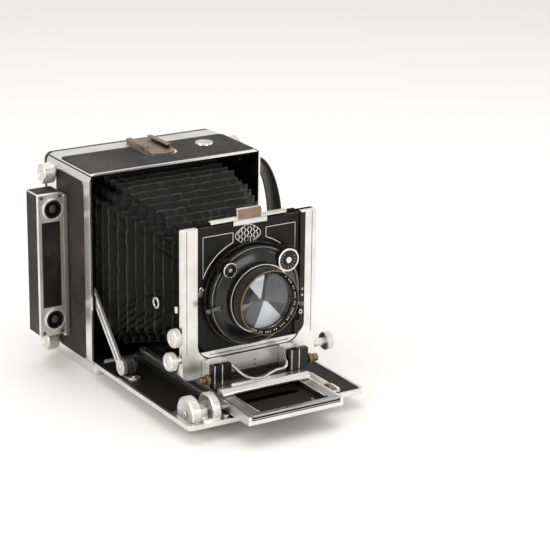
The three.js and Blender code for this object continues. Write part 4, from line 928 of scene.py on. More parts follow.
place_piece(strap_band(), "camera_body", strap_leather, ("hand_strap",))
stitch = bar_shape("stitch", (0.5, 0.7, 2.1), 0.15)
stitch_spots = []
for i in range(4, len(strap_line) - 4):
    out, along = outward(i)
    lean = (0, math.atan2(along.x, along.z), 0)
    for edge in (2 - STRAP_HALF_WIDTH, STRAP_HALF_WIDTH - 2):
        for face in (-STRAP_HALF_THICK, STRAP_HALF_THICK):
            spot = strap_line[i] + out * face + Vector((0, strap_centre_y + edge, 0))
            stitch_spots.append((spot, lean))
scatter("hand_strap_stitches", stitch, stitch_spots, "camera_body", thread_black)
plate_x = strap_low.x + 4.2
strap_screws = []
for label, z in (("upper", strap_high.z - 3.4), ("lower", strap_low.z + 3.4)):
    slab(
        label + "_strap_plate", (plate_x - 0.95, strap_centre_y - 9, z - 3.2),
        (plate_x, strap_centre_y + 9, z + 3.2), "camera_body", polished_nickel, 0.35,
    )
    strap_screws += [(plate_x - 0.1, strap_centre_y + y, z) for y in (-5, 5)]
screws("hand_strap_screws", large_screw, strap_screws, FACE_RIGHT, "camera_body")
print("strap:", len(stitch_spots), "stitches")

# %% [markdown]
# ## Rangefinder
# The rangefinder is a slim leather-covered case on a rail, with a satin front plate. Two round
# windows look forward through stepped bezels, and a black panel is let into the plate between
# them. The plate's screws sit in its corners.
# %% Rangefinder
case = soften("rangefinder_case", 1.0, body_leather)
paint_faces(case, satin_chrome, lambda at, facing: max(abs(v) for v in facing) < 0.995)
soften("rangefinder_rail", 0.4, satin_chrome)
soften("rangefinder_front", 0.35, satin_chrome, degrees=40)
plate_low, plate_high = span("rangefinder_front")
plate_front = plate_high.y - 1.5
windows = {label: middle_of(label + "_window") for label in ("upper", "lower")}
slab(
    "rangefinder_panel", (plate_low.x + 3.2, plate_front - 0.45, windows["lower"].z + 11.5),
    (plate_high.x - 3.2, plate_front + 0.3, windows["upper"].z - 11.5), "camera_body",
    body_leather, 0.3,
)
# each ring of a window: its steps, finish and profile, behind the plate's front
WINDOW_RINGS = {
    "bezel": (56, satin_chrome, (
        (8.3, 0.2), (8.5, -0.4), (9.1, -0.4), (9.4, -0.1), (9.4, 0.9), (8.3, 0.9),
    )),
    "ring": (56, black_lacquer, (
        (6.5, 0.9), (6.7, -0.1), (7.4, -0.45), (8.1, -0.2), (8.4, 0.3), (8.4, 0.9),
    )),
    "stop": (40, matt_black, ((3.4, 1.2), (6.4, 0.7), (6.4, 1.35), (3.4, 1.45))),
}
for label, at in windows.items():
    for part, (steps, finish, profile) in WINDOW_RINGS.items():
        profile = [(r, plate_low.y + y) for r, y in profile]
        name = label + "_window_" + part
        turn(name, profile, (at.x, 0, at.z), "y", steps, "camera_body", finish)
plate_screws = [
    ((x, plate_front - 0.02, z), (math.pi / 2, 0.6 * i, 0))
    for i, (x, z) in enumerate(
        (x, z)
        for x in (plate_low.x + 3.4, plate_high.x - 3.4)
        for z in (plate_low.z + 2.9, plate_high.z - 2.9)
    )
]
scatter("rangefinder_screws", small_screw, plate_screws, "camera_body", dark_steel)
eye_low, eye_high = span("eyepiece")
eye = middle_of("eyepiece")
turn(
    "eyepiece_finished",
    [(4.0, eye_low.y), (9.5, eye_low.y), (9.5, eye_low.y + 1.6), (8.3, eye_low.y + 2.0),
     (8.3, eye_high.y - 1.6), (9.0, eye_high.y - 0.9), (8.2, eye_high.y), (6.0, eye_high.y),
     (4.0, eye_low.y + 2)],
    (eye.x, 0, eye.z), "y", 56, "camera_body", black_lacquer, ("eyepiece",),
)
print("rangefinder: case, plate, windows and eyepiece")

# %% [markdown]
# ## Knobs
# Every knob is a turned core with fine ridges round its rim for grip. The core comes from a
# profile, and the ridges are one small bar that the node tree repeats on a circle. The same
# function serves the knobs of the back, the knobs of the front standard and the two wheels.
# %% Knob recipe
def ridges(name, count, radius, centre, ends, size, body, material):
    """Bars round a rim about an axis along X, between two places on that axis."""
    near, far = sorted(ends)
    bar = bar_shape(name + "_bar", (far - near, size, size), size * 0.25)
    spots = []
    for i in range(count):
        angle = math.tau * i / count
        y = centre[1] + radius * math.cos(angle)
        z = centre[2] + radius * math.sin(angle)
        spots.append((((near + far) / 2, y, z), (angle - math.pi / 2, 0, 0)))
    scatter(name, bar, spots, body, material)


def knob(name, side, stem, radius, thick, count, size, neck=None):
    """A ridged knob on the outer side of a stem. side is -1 on the left and 1 on the right.

    neck: its radius and its length, for a knob whose stem widens before the head.
    """
    low, high = span(name)
    at = middle_of(name)
    inner, outer = (high.x, low.x) if side < 0 else (low.x, high.x)
    head = outer - side * thick
    core = radius - size * 0.45
    profile = [(0, inner), (stem, inner)]
    if neck:
        wide, length = neck
        shoulder = head - side * length
        profile += [(stem, shoulder), (wide, shoulder), (wide, head)]
    else:
        profile.append((stem, head))
    profile += [
        (core - 0.7, head), (core, head + side * 0.6), (core, outer - side * 0.9),
        (core - 0.9, outer), (core * 0.62, outer), (core * 0.56, outer - side * 0.5),
        (core * 0.3, outer - side * 0.5), (core * 0.26, outer - side * 0.05), (0, outer),
    ]
    body = name + "_body"
    turn(name + "_finished", profile, (0, at.y, at.z), "x", 56, body, knob_chrome, (name,))
    ends = head + side * 0.9, outer - side * 1.1
    ridges(name + "_ridges", count, core, at, ends, size, body, knob_chrome)

# %% Knobs of the back and of the standard
for level in ("upper", "lower"):
    for label, side in (("left", -1), ("right", 1)):
        knob(level + "_" + label + "_back_knob", side, 2, 8.8, 11, 44, 0.75, (4.2, 2.4))
knob("rise_knob", -1, 1.8, 7.9, 7, 40, 0.7)
knob("shift_lock_knob", -1, 1.8, 7.9, 7, 40, 0.7, (3.4, 5))
knob("side_lock_knob", 1, 1.8, 7.9, 7, 40, 0.7, (3.4, 10.5))
print("knobs: 7")

# %% Focus wheel and track lock wheel
WHEEL_RADIUS = 14.5


def wheel(name, bore, body):
    low, high = span(name)
    at = middle_of(name)
    core = WHEEL_RADIUS - 0.7
    profile = [
        (bore, low.x + 0.8), (core * 0.45, low.x + 0.8), (core * 0.55, low.x + 0.3),
        (core - 1.2, low.x), (core, low.x + 0.9), (core, high.x - 0.9), (core - 1.2, high.x),
        (core * 0.55, high.x - 0.3), (core * 0.45, high.x - 0.8), (bore, high.x - 0.8),
    ]
    turn(name + "_finished", profile, (0, at.y, at.z), "x", 72, body, knob_chrome, (name,))
    ends = low.x + 1.1, high.x - 1.1
    ridges(name + "_ridges", 44, core, at, ends, 1.25, body, knob_chrome)
    return Vector((low.x, at.y, at.z))


hub = wheel("focus_wheel", 0, "focus_drive")
wheel("track_lock_wheel", 3.0, "track_lock")
screws("focus_wheel_screw", large_screw, [hub + Vector((0.4, 0, 0))], FACE_LEFT, "focus_drive")
print("wheels: 2")

# %% [markdown]
# ## Bed, tracks and struts
# The bed is a shallow metal tray whose floor is covered in leather. Two tracks slide on it: the
# lower one runs between guides and carries a rack, and the upper one extends out of it. The
# struts are flat bars whose lower ends turn on grooved barrels.
# %% Bed and guides
soften("bed_plate", 0.5, satin_chrome)
bed_low, bed_high = span("bed_plate")
track_low, track_high = span("lower_track")
guide_low, guide_high = span("track_guides")
BED_FLOOR = guide_low.z - 0.3
WHEEL_BAY = 38  # the front part of the floor, which leaves the left corner to the wheels
for name, low_x, low_y, high_y in (
    ("bed_leather_rear", bed_low.x + 2.8, bed_low.y + WHEEL_BAY, bed_high.y - 8.4),
    ("bed_leather_front", guide_low.x + 5, bed_low.y + 3.2, bed_low.y + WHEEL_BAY - 0.1),
):
    low, high = (low_x, low_y, BED_FLOOR + 0.02), (bed_high.x - 2.8, high_y, BED_FLOOR + 0.27)
    slab(name, low, high, "bed", bed_leather, 0)
soften("track_guides", 0.35, track_black)
RIB_PITCH = 2.3
rib = bar_shape("guide_rib", (2.6, 1.1, 0.7), 0.15)
rib_count = int((guide_high.y - guide_low.y - 14) / RIB_PITCH)
rib_x, rib_z = guide_low.x + 1.75, guide_high.z + 0.25
rib_places = [(rib_x, guide_low.y + 5 + i * RIB_PITCH, rib_z) for i in range(rib_count)]
screws("guide_ribs", rib, rib_places, FACE_UP, "bed", dark_steel)
print("guides:", rib_count, "ribs")

# %% Tracks
TRACK_LIP = 3.2  # the bright edge on each side of the lower track
lower = soften("lower_track", 0.35, satin_chrome)
inner_edge = track_high.x - TRACK_LIP
paint_faces(
    lower, bed_leather, lambda at, facing: abs(at.x) < inner_edge and at.y > track_low.y + 0.5
)
paint_faces(lower, brushed_steel, lambda at, facing: at.x < -track_high.x - 0.4)
soften("upper_track", 0.35, brushed_steel)
upper_low, upper_high = span("upper_track")
for label, side in (("left", -1), ("right", 1)):
    edge = side * (upper_high.x - 9.6)
    near, far = sorted((edge, edge + side * 0.9))
    slab(
        "rail_line_" + label, (near, upper_low.y + 8, upper_high.z - 0.1),
        (far, upper_high.y - 10, upper_high.z + 0.12), "extension_track", satin_chrome, 0.08,
    )
slab(
    "front_crossbar_edge", (-upper_high.x + 0.6, upper_low.y - 0.15, upper_low.z + 1.1),
    (upper_high.x - 0.6, upper_low.y + 0.1, upper_low.z + 2.4), "extension_track", matt_black, 0,
)
track_places = [
    (x, track_low.y + y, track_low.z + 2.95) for x, y in ((-26, 17), (26, 17), (-20, 58), (20, 58))
]
screws("track_screws", small_screw, track_places, FACE_UP, "focus_track")
print("tracks: 2")

# %% Struts and their barrels
# the barrel on the strut's hub: radius and place along it, from the hub's outer end
HUB_PROFILE = (
    (6.6, 0), (7.6, 0.6), (7.6, 2.2), (6.6, 2.6), (6.6, 3.2), (7.9, 3.6), (7.9, 6.4),
    (7.0, 6.9), (7.0, 7.5), (7.8, 8.0),
)
for label, side, facing in (("left", -1, FACE_LEFT), ("right", 1, FACE_RIGHT)):
    strut = label + "_strut"
    body = strut + "_body"
    soften(strut, 0.45, satin_chrome)
    low, high = span(strut)
    outer_face = side * (shell_high.x - WALL - 0.4)
    bottom = Vector((outer_face, low.y + 7, low.z + 7))
    top = Vector((outer_face, high.y - 4, high.z - 4))
    run = top - bottom
    lean = Matrix.Rotation(math.atan2(run.z, run.y), 3, "X")
    middle = (top + bottom) / 2
    reach = Vector((0.12, (run.length - 14) / 2, 0.7))
    slab(strut + "_groove", middle - reach, middle + reach, body, dark_steel, 0, lean)
    screws(strut + "_pivot_screw", large_screw, [bottom], facing, body)
    hub = label + "_strut_hub"
    low, high = span(hub)
    near, far = (low.x, high.x) if side < 0 else (high.x, low.x)
    profile = [(0, near), *((r, near - side * x) for r, x in HUB_PROFILE), (7.4, far), (0, far)]
    pivot = (0, high.y - 8, high.z - 8)
    turn(hub + "_finished", profile, pivot, "x", 56, "bed", dark_steel, (hub,))
    foot_x, foot_y = (low.x + high.x) / 2, low.y + 5.5
    foot = [(r, low.z + z) for r, z in ((0, 0), (5.5, 0), (5.5, 2.2), (4.9, 2.8), (0, 2.8))]
    turn(hub + "_foot", foot, (foot_x, foot_y, 0), "z", 40, "bed", knob_chrome)
    plate = (low.x + 0.3, low.y + 6, low.z), (high.x - 0.3, high.y - 3, low.z + 2)
    slab(hub + "_plate", *plate, "bed", satin_chrome, 0.3)
    screws(hub + "_screw", small_screw, [(foot_x, foot_y, low.z + 2.75)], FACE_UP, "bed")
print("struts: 2")

# %% Infinity stop and small fittings on the bed
low, high = span("infinity_stop")
stop_axis = (low.x + 4, 0, high.z - 4)
turn(
    "infinity_stop_barrel",
    [(0, low.y + 9), (3.6, low.y + 9), (4.0, low.y + 9.5), (4.0, high.y - 0.5), (3.6, high.y),
     (0, high.y)],
    stop_axis, "y", 48, "bed", ivory_paint, ("infinity_stop",),
)
turn(
    "infinity_stop_screw",
    [(r, low.y + y) for r, y in (
        (0, 1), (3.0, 1), (3.4, 1.5), (3.4, 6), (2.2, 6.4), (2.2, 9.2), (0, 9.2),
    )],
    stop_axis, "y", 32, "bed", aged_brass,
)
wheel_side = guide_low.x
for name, low_corner, high_corner, bevel in (
    ("infinity_stop_plate", (low.x + 4.2, low.y, low.z), (high.x, high.y, low.z + 1.6), 0.35),
    (
        "infinity_stop_hook", (high.x - 3, low.y + 1, low.z + 1.4),
        (high.x, low.y + 14, low.z + 3.6), 0.4,
    ),
    (
        "wheel_bracket", (-70, bed_low.y + 1.4, BED_FLOOR + 0.2),
        (-55, bed_low.y + 4.2, BED_FLOOR + 3.4), 0.5,
    ),
    (
        "track_stop", (wheel_side - 0.4, bed_low.y + 3.6, BED_FLOOR + 0.2),
        (wheel_side + 3.6, bed_low.y + 14, BED_FLOOR + 2.6), 0.4,
    ),
):
    slab(name, low_corner, high_corner, "bed", satin_chrome, bevel)
stop_places = [(high.x - 2.6, y, low.z + 1.55) for y in (low.y + 20, high.y - 4)]
screws("infinity_stop_screws", small_screw, stop_places, FACE_UP, "bed")
print("bed fittings done")

# %% [markdown]
# ## Carriage, clamps and bail
# The standard stands on a carriage that slides along the rails. Two black clamps pinch the rails
# when their brass screws turn, and a bent wire between them is what the fingers pull.
# %% Carriage and clamps
carriage = soften("carriage", 0.5, satin_chrome)
carriage_low, carriage_high = span("carriage")
frame_low, frame_high = span("u_frame")
CARRIAGE_BAR = 9.8  # the bright front bar; the carriage behind it is black
paint_faces(
    carriage, track_black,
    lambda at, facing: at.y > carriage_low.y + CARRIAGE_BAR and abs(at.x) < carriage_high.x - 0.5,
)
CLAMP_CAP = 5.5  # the black cap's depth on the bright clamp block
# a clamp screw: radius and place along it, from its inner end
SCREW_PROFILE = (
    (0, 0), (1.2, 0), (1.2, 1.2), (4.0, 1.4), (4.3, 1.8), (4.3, 4.2), (3.9, 4.7), (2.6, 4.9),
    (2.6, 5.6), (3.2, 5.9),
)
for label, side in (("left", -1), ("right", 1)):
    clamp = label + "_clamp"
    low, high = span(clamp)
    cap = low.y + CLAMP_CAP
    part = soften(clamp, 0.9, black_lacquer, cuts=(("y", cap),))
    paint_faces(part, satin_chrome, lambda at, facing: at.y > cap)
    for percent in (12, 52):
        x = low.x + (high.x - low.x) * percent / 100
        slab(
            "%s_line_%d" % (clamp, percent), (x - 0.35, low.y - 0.12, low.z + 1),
            (x + 0.35, cap - 0.5, high.z + 0.12), "standard_carriage", polished_nickel, 0.08,
        )
    screw = label + "_clamp_screw"
    body = screw + "_body"
    low, high = span(screw)
    at = middle_of(screw)
    inner, outer = (high.x, low.x) if side < 0 else (low.x, high.x)
    profile = [(r, inner + side * x) for r, x in SCREW_PROFILE]
    profile += [(3.4, outer - side * 0.6), (2.8, outer), (0, outer)]
    turn(screw + "_finished", profile, (0, at.y, at.z), "x", 40, body, aged_brass, (screw,))
    ends = inner + side * 2.0, inner + side * 4.1
    ridges(screw + "_ridges", 28, 4.2, at, ends, 0.5, body, aged_brass)
print("clamps: 2")

# %% Bail wire
def wire(name, points, radius, body, material, replaced=(), closed=False):
    """A round wire through points in millimetres: smooth when open, straight-sided when closed."""
    curve = bpy.data.curves.new(name, "CURVE")
    curve.dimensions = "3D"
    curve.bevel_depth = radius * MM
    curve.bevel_resolution = 3
    curve.use_fill_caps = True
    spline = curve.splines.new("POLY" if closed else "BEZIER")
    if closed:
        spline.points.add(len(points) - 1)
        for knot, point in zip(spline.points, points):
            knot.co = (*(Vector(point) * MM), 1)
    else:
        spline.bezier_points.add(len(points) - 1)
        for knot, point in zip(spline.bezier_points, points):
            knot.co = Vector(point) * MM
            knot.handle_left_type = knot.handle_right_type = "AUTO"
    spline.use_cyclic_u = closed
    holder = bpy.data.objects.new(name + "_curve", curve)
    bpy.context.scene.collection.objects.link(holder)
    graph = bpy.context.evaluated_depsgraph_get()
    mesh = bpy.data.meshes.new_from_object(holder.evaluated_get(graph))
    bpy.data.objects.remove(holder)
    shade_by_angle(mesh, 50)
    place_piece(bpy.data.objects.new(name, mesh), body, material, replaced)


bail_low, bail_high = span("bail")
BAIL_BACK, BAIL_PIVOT = -174, 46.5
# the bail's bends: place across, reach in front of the pivot, and height
BAIL_BENDS = (
    (bail_low.x, 0, BAIL_PIVOT), (-26.5, 0, BAIL_PIVOT), (-22.5, 2.5, BAIL_PIVOT - 3),
    (-17.5, 7.5, BAIL_PIVOT - 8.2), (-12, 11.6, 35.4), (-5, 13, 34.3), (1, 13, 35.0),
    (6, 12.8, 36.8), (12, 12.6, 38.2), (19, 12.2, 38.6), (23.5, 9.5, 39.6), (25.5, 4, 43.6),
    (27.5, 0, BAIL_PIVOT), (bail_high.x, 0, BAIL_PIVOT),
)
bail_points = [(x, BAIL_BACK - reach, z) for x, reach, z in BAIL_BENDS]
wire("bail_finished", bail_points, 1.2, "bail_body", wire_steel, ("bail",))
print("bail:", len(bail_points), "bends")

# %% [markdown]
# ## The front standard
# A U-shaped frame, bright and rounded, holds the lens panel between its uprights. Behind their
# bright fronts the uprights are painted black, as painted shade on their shaded inner faces.
# The panel's own bottom bar is bright too, and the rest of it is black behind the lens board.
# %% U-frame and lens panel
FRAME_FACE = 4.6  # the bright depth of the uprights; behind it the channel is black
painted_shade_from = frame_low.y + FRAME_FACE
# Behind the bright front, the uprights' inner and rear faces are painted black: painted shade.
upright = soften("u_frame", 1.1, satin_chrome, cuts=(("y", painted_shade_from),))
paint_faces(
    upright, matt_black, lambda at, facing: at.y > painted_shade_from and at.z > frame_low.z + 12
)
for label, side in (("left", -1), ("right", 1)):
    x = side * (frame_high.x - 4.4)
    slab(
        "upright_line_" + label, (x - 0.28, frame_low.y - 0.06, frame_low.z + 22),
        (x + 0.28, frame_low.y + 0.1, frame_high.z - 0.8), "standard_frame", dark_steel, 0,
    )
panel = soften("lens_panel", 0.5, satin_chrome)
panel_low, panel_high = span("lens_panel")
board_low, board_high = span("lens_board")
PANEL_BAR = 6.5  # the height of the bright bar at the panel's foot
paint_faces(
    panel, matt_black,
    lambda at, facing: at.y > board_high.y - 0.2 or at.z > panel_low.z + PANEL_BAR,
)
slab(
    "panel_bar_groove", (-38, panel_low.y - 0.05, panel_low.z + 2.5),
    (38, panel_low.y + 0.1, panel_low.z + 3.1), "panel_and_lens", matt_black, 0,
)
hole = [(r, frame_low.y + y) for r, y in ((0, -0.05), (0.8, -0.05), (0.8, 0.2), (0, 0.2))]
for i, height in enumerate((7.2, 2.8)):
    centre = (5, 0, frame_low.z + height)
    turn("crossbar_hole_%d" % i, hole, centre, "y", 20, "standard_frame", matt_black)
STRIP_FRONT = frame_low.y - 0.24


def side_strip():
    """A thin leaf beside the board that widens at its foot and ends in a rounded corner."""
    right, inner, foot = panel_high.x + 1.6, board_high.x + 0.1, board_low.z + 0.2
    top, corner = panel_high.z - 1, 9.5
    outline = [(right, top), (inner, top), (inner, foot + 12), (right - corner, foot + 12)]
    for i in range(13):
        angle = math.radians(-90 + 90 * i / 12)
        across = right - corner + corner * math.cos(angle)
        outline.append((across, foot + corner + corner * math.sin(angle)))
    made = bmesh.new()
    face = made.faces.new(add_ring(made, [(x, STRIP_FRONT, z) for x, z in outline]))
    grown = bmesh.ops.extrude_face_region(made, geom=[face])["geom"]
    moved = [part for part in grown if isinstance(part, bmesh.types.BMVert)]
    thick = Vector((0, frame_low.y - 0.02 - STRIP_FRONT, 0))
    bmesh.ops.translate(made, verts=moved, vec=thick * MM)
    bmesh.ops.triangulate(made, faces=made.faces[:])
    return from_bmesh("panel_side_strip", made)


place_piece(side_strip(), "panel_and_lens", black_lacquer)
catch = soften("board_catch", 0.3, polished_nickel)
CATCH_FACE = 12  # half the width of the catch's painted face


def on_catch_face(at, facing):
    return at.z > frame_high.z + 0.4 and facing.y < -0.5 and abs(at.x) < CATCH_FACE


paint_faces(catch, bronze_paint, on_catch_face)
print("standard: frame, panel and catch")

# %% [markdown]
# ## Lens board
# The board is black enamel with fine white lines: two outlines whose inner side is an arc round
# the shutter, and a small plaque of crossed bars between them. Nickel eyelets and screws hold
# the board's own fittings.
# %% Lines and plaque on the board
soften("lens_board", 0.35, board_black)
line_y = board_low.y - 0.02
ARC_RADIUS = 47.5
OUTLINE_OUTER, OUTLINE_INNER, OUTLINE_TOP = 43.8, 15.7, 53.3


def board_outline(name, side):
    """An outline with straight outer sides and an arc round the lens axis as its inner side."""
    top = lens_height + OUTLINE_TOP
    start, end = (math.acos(x / ARC_RADIUS) for x in (OUTLINE_INNER, OUTLINE_OUTER))
    points = [(side * OUTLINE_OUTER, line_y, top), (side * OUTLINE_INNER, line_y, top)]
    for i in range(13):
        angle = start + (end - start) * i / 12
        across, up = ARC_RADIUS * math.cos(angle), ARC_RADIUS * math.sin(angle)
        points.append((side * across, line_y, lens_height + up))
    wire(name, points, 0.38, "panel_and_lens", line_white, closed=True)


board_outline("left_board_outline", -1)
board_outline("right_board_outline", 1)
plaque_x, plaque_z = -1.5, lens_height + 49.8
plaque_rim = []
for i in range(40):
    angle = math.tau * i / 40
    squared = 1 - 0.12 * math.sin(2 * angle) ** 2
    across = plaque_x + 11.4 * math.cos(angle) * squared * 1.05
    plaque_rim.append((across, line_y, plaque_z + 7.6 * math.sin(angle) * squared * 1.1))
wire("plaque_rim", plaque_rim, 0.35, "panel_and_lens", line_white, closed=True)
lattice_bar = bar_shape("lattice_bar", (3.1, 0.5, 0.75), 0.12)
LATTICE_WIDE, LATTICE_TALL = 2.9, 2.6
lattice_spots = []
for column in range(-3, 4):
    for row in range(-2, 3):
        x, z = column * LATTICE_WIDE, row * LATTICE_TALL
        if (x / 10.2) ** 2 + (z / 6.9) ** 2 < 0.95:
            tilt = math.radians(55 if (column + row) % 2 else -55)
            lattice_spots.append(((plaque_x + x, line_y, plaque_z + z), (0, tilt, 0)))
scatter("plaque_lattice", lattice_bar, lattice_spots, "panel_and_lens", line_white)
eyelets = [(-45.4, board_low.y, lens_height + 9.2), (49.0, STRIP_FRONT, lens_height - 25.6)]
screws("board_eyelets", eyelet, eyelets, FACE_FRONT, "panel_and_lens")
dot = screw_shape("dot_screw", 0.95, 0.5, 0.18)
dots = [(50.6, STRIP_FRONT, lens_height - drop) for drop in (5.6, 11)]
screws("board_dots", dot, dots, FACE_FRONT, "panel_and_lens")
print("board:", len(lattice_spots), "lattice bars")

# %% [markdown]
# ## Leaf shutter
# The shutter is a flat black drum with two ears for its dials. Thin bright rings show where its
# parts meet, and short dark steel marks run round its rim as a scale.
# %% Shutter drum and scale
soften("shutter_case", 0.5, black_lacquer, degrees=28)
case_face = span("shutter_case")[0].y


def lens_turn(name, profile, origin, steps, material, replaced=()):
    """A part turned about the lens axis, with its profile measured from a place along it."""
    profile = [(r, origin + y) for r, y in profile]
    turn(name, profile, LENS, "y", steps, "panel_and_lens", material, replaced)


def face_ring(name, inner, outer, front, back, material):
    """A thin ring with rounded front edges. Places are measured from the face of the case."""
    profile = [
        (inner, front + 0.12), (inner + 0.12, front), (outer - 0.12, front),
        (outer, front + 0.12), (outer, back), (inner, back),
    ]
    lens_turn(name, profile, case_face, 96, material)


face_ring("shutter_cover_rim", 40.9, 41.35, -0.15, 0.3, brushed_steel)
cover = [(29.5, 0.2), (29.5, -3.0), (30.2, -3.4), (37.4, -1.3), (38.4, -0.4), (38.6, 0.2)]
lens_turn("shutter_cover", cover, case_face, 120, cover_enamel)
face_ring("front_collar", 27.3, 29.0, -9.0, -4.4, black_lacquer)
face_ring("front_collar_edge", 28.2, 29.15, -9.35, -8.9, satin_chrome)
face_ring("front_collar_base", 27.3, 30.4, -4.4, -2.6, black_lacquer)
mark = bar_shape("scale_mark", (0.32, 0.14, 1.5), 0)
SCALE_RADIUS, FACE_SCREW_RADIUS = 35.6, 34.2
scale = [
    on_circle(LENS, SCALE_RADIUS, math.radians(205 + i * 5.2), case_face - 0.02)
    for i in range(0, 26, 2)
]
scatter("shutter_scale", mark, scale, "panel_and_lens", dark_steel)
face_screws = []
for angle in map(math.radians, (75, 152, 232, 305)):
    place, _ = on_circle(LENS, FACE_SCREW_RADIUS, angle, case_face + 0.05)
    face_screws.append((place, (math.pi / 2, angle, 0)))
scatter("shutter_screws", small_screw, face_screws, "panel_and_lens", dark_steel)
print("shutter:", len(scale), "marks")

# %% Dials and levers
def dial(name, marks):
    low, high = span(name)
    at = middle_of(name)
    body = name + "_body"
    radius = (high.x - low.x) / 2
    front = low.y + 1
    profile = [
        (0, high.y), (radius, high.y), (radius, front + 0.7), (radius - 0.5, front + 0.1),
        (radius * 0.82, front + 0.1), (radius * 0.78, front + 0.5),
        (radius * 0.3, front + 0.5), (radius * 0.26, front + 0.2), (0, front + 0.2),
    ]
    centre = (at.x, 0, at.z)
    turn(name + "_finished", profile, centre, "y", 64, body, black_lacquer, (name,))
    rim = [
        (radius * 0.84, front - 0.12), (radius * 0.97, front - 0.12),
        (radius * 0.985, front + 0.1), (radius * 0.985, front + 0.6), (radius * 0.84, front + 0.6),
    ]
    turn(name + "_rim", rim, centre, "y", 64, body, polished_nickel)
    angles = [math.radians(130 + i * 280 / marks) for i in range(marks)]
    spots = [on_circle(at, radius * 0.64, angle, front + 0.45) for angle in angles]
    mark = bar_shape(name + "_mark", (0.25, 0.14, radius * 0.16), 0)
    scatter(name + "_marks", mark, spots, body, line_white)
    hub = screw_shape(name + "_hub", radius * 0.27, 0.9, radius * 0.05)
    hub_place = (at.x, front + 0.2, at.z)
    screws(name + "_screw", hub, [hub_place], (math.pi / 2, 0.7, 0), body)


slab(
    "lever_plate", (-49.0, board_low.y - 0.9, lens_height + 3.2),
    (-40.5, board_low.y - 0.02, lens_height + 8.4), "panel_and_lens", dark_steel, 0.3,
)
dial("speed_dial", 12)
dial("mode_dial", 3)
soften("cocking_lever", 0.35, dark_steel)
soften("release_lever", 0.35, dark_steel)
aperture = soften("aperture_ring", 0.3, black_lacquer)
POINTER_FOOT = lens_height + 44.8  # above this the aperture ring is its bright pointer
paint_faces(aperture, polished_nickel, lambda at, facing: at.z > POINTER_FOOT)
print("dials: 2, levers: 2")

# %% [markdown]
# ## The lens
# The front barrel is a turned black cup with fine grooves, a rim worn to brass, and a dark
# inner cone that carries a ring of lettering, here only short strokes. Behind the glass, seven
# flat leaves close the shutter. Their light, grey and black finishes are painted reflections,
# painted highlights and painted shade on one steel, for the bright and dark wedges that a real
# lens shows when it reflects a studio.
# %% Front barrel
barrel_low, barrel_high = span("front_barrel")
front, back = barrel_low.y, barrel_high.y
length = back - front
RIM_RADIUS = 27.5
grooves = []
for i in range(5):
    y = 3.2 + i * 1.5
    grooves += [
        (RIM_RADIUS - 0.05, y), (RIM_RADIUS - 0.5, y + 0.3), (RIM_RADIUS - 0.5, y + 0.75),
        (RIM_RADIUS - 0.05, y + 1.05),
    ]
barrel = [
    (RIM_RADIUS - 1.1, 0.1), (RIM_RADIUS - 0.5, 0), (RIM_RADIUS - 0.1, 0.5),
    (RIM_RADIUS - 0.1, 2.6), *grooves, (RIM_RADIUS, 12.2), (RIM_RADIUS, length), (19, length),
    (19, length - 5.5), (23.2, length - 6.2), (23.9, 5.2), (23.9, 4.2), (26.2, 1.3),
]
lens_turn("front_barrel_finished", barrel, front, 128, black_lacquer, ("front_barrel",))
brass_rim = [
    (RIM_RADIUS - 1.0, 0.3), (RIM_RADIUS - 0.85, 0.02), (RIM_RADIUS - 0.3, 0.02),
    (RIM_RADIUS, 0.35), (RIM_RADIUS, 1.1), (RIM_RADIUS - 1.0, 1.1),
]
lens_turn("front_barrel_rim", brass_rim, front, 128, aged_brass)
STROKE_RADIUS = 25.2
stroke = bar_shape("ring_stroke", (0.62, 0.3, 1.5), 0)
strokes = [
    on_circle(LENS, STROKE_RADIUS, math.radians(-128 + i * 4.6), front + 1.95)
    for i in range(40)
    if i % 7 not in (3, 6)
]
scatter("ring_strokes", stroke, strokes, "panel_and_lens", line_white)
print("front barrel:", len(strokes), "strokes")

# %% Glass and shutter leaves
GLASS_RADIUS, GLASS_SPHERE, GLASS_EDGE = 23.6, 62.0, 5.3
edge_depth = math.sqrt(GLASS_SPHERE**2 - GLASS_RADIUS**2)
front_crown = []
for i in range(11):
    r = GLASS_RADIUS * (1 - i / 10)
    front_crown.append((r, GLASS_EDGE - (math.sqrt(GLASS_SPHERE**2 - r**2) - edge_depth)))
front_glass = [(0, 6.6), (GLASS_RADIUS, 6.6), *front_crown]
lens_turn("front_glass_finished", front_glass, front, 128, lens_glass, ("front_glass",))
LEAF_RADIUS = 22.9
# each leaf: start and end in degrees, how far its foot reaches past the centre, and its finish;
# the finishes are painted reflections, from a painted highlight to black painted shade
LEAVES = (
    (78, 128, 1.5, leaf_painted_highlight), (126, 186, 1.0, matt_black), (184, 214, 1.2, leaf_painted_half_shade),
    (212, 250, 1.6, leaf_painted_shade), (248, 312, 1.4, leaf_painted_highlight), (310, 346, 1.0, matt_black),
    (344, 438, 1.3, leaf_painted_shade),
)


def shutter_leaf(index, start, end, foot):
    """One flat leaf of the closed shutter: an arc outside, and two straight sides that overlap."""
    made = bmesh.new()
    steps = 10
    middle = math.radians((start + end) / 2)
    outline = []
    for k in range(steps + 1):
        angle = math.radians(start - 3 + (end - start + 6) * k / steps)
        outline.append((LEAF_RADIUS * math.cos(angle), LEAF_RADIUS * math.sin(angle)))
    for angle in (middle - 0.9, middle + 0.9):
        outline.append((-foot * math.cos(angle), -foot * math.sin(angle)))
    near = back - 9.6 + (index % 3) * 0.22
    close_rings(made, [
        add_ring(made, [(x, y, lens_height + z) for x, z in outline]) for y in (near, near + 0.16)
    ])
    return from_bmesh("shutter_leaf_%d" % index, made, 20)


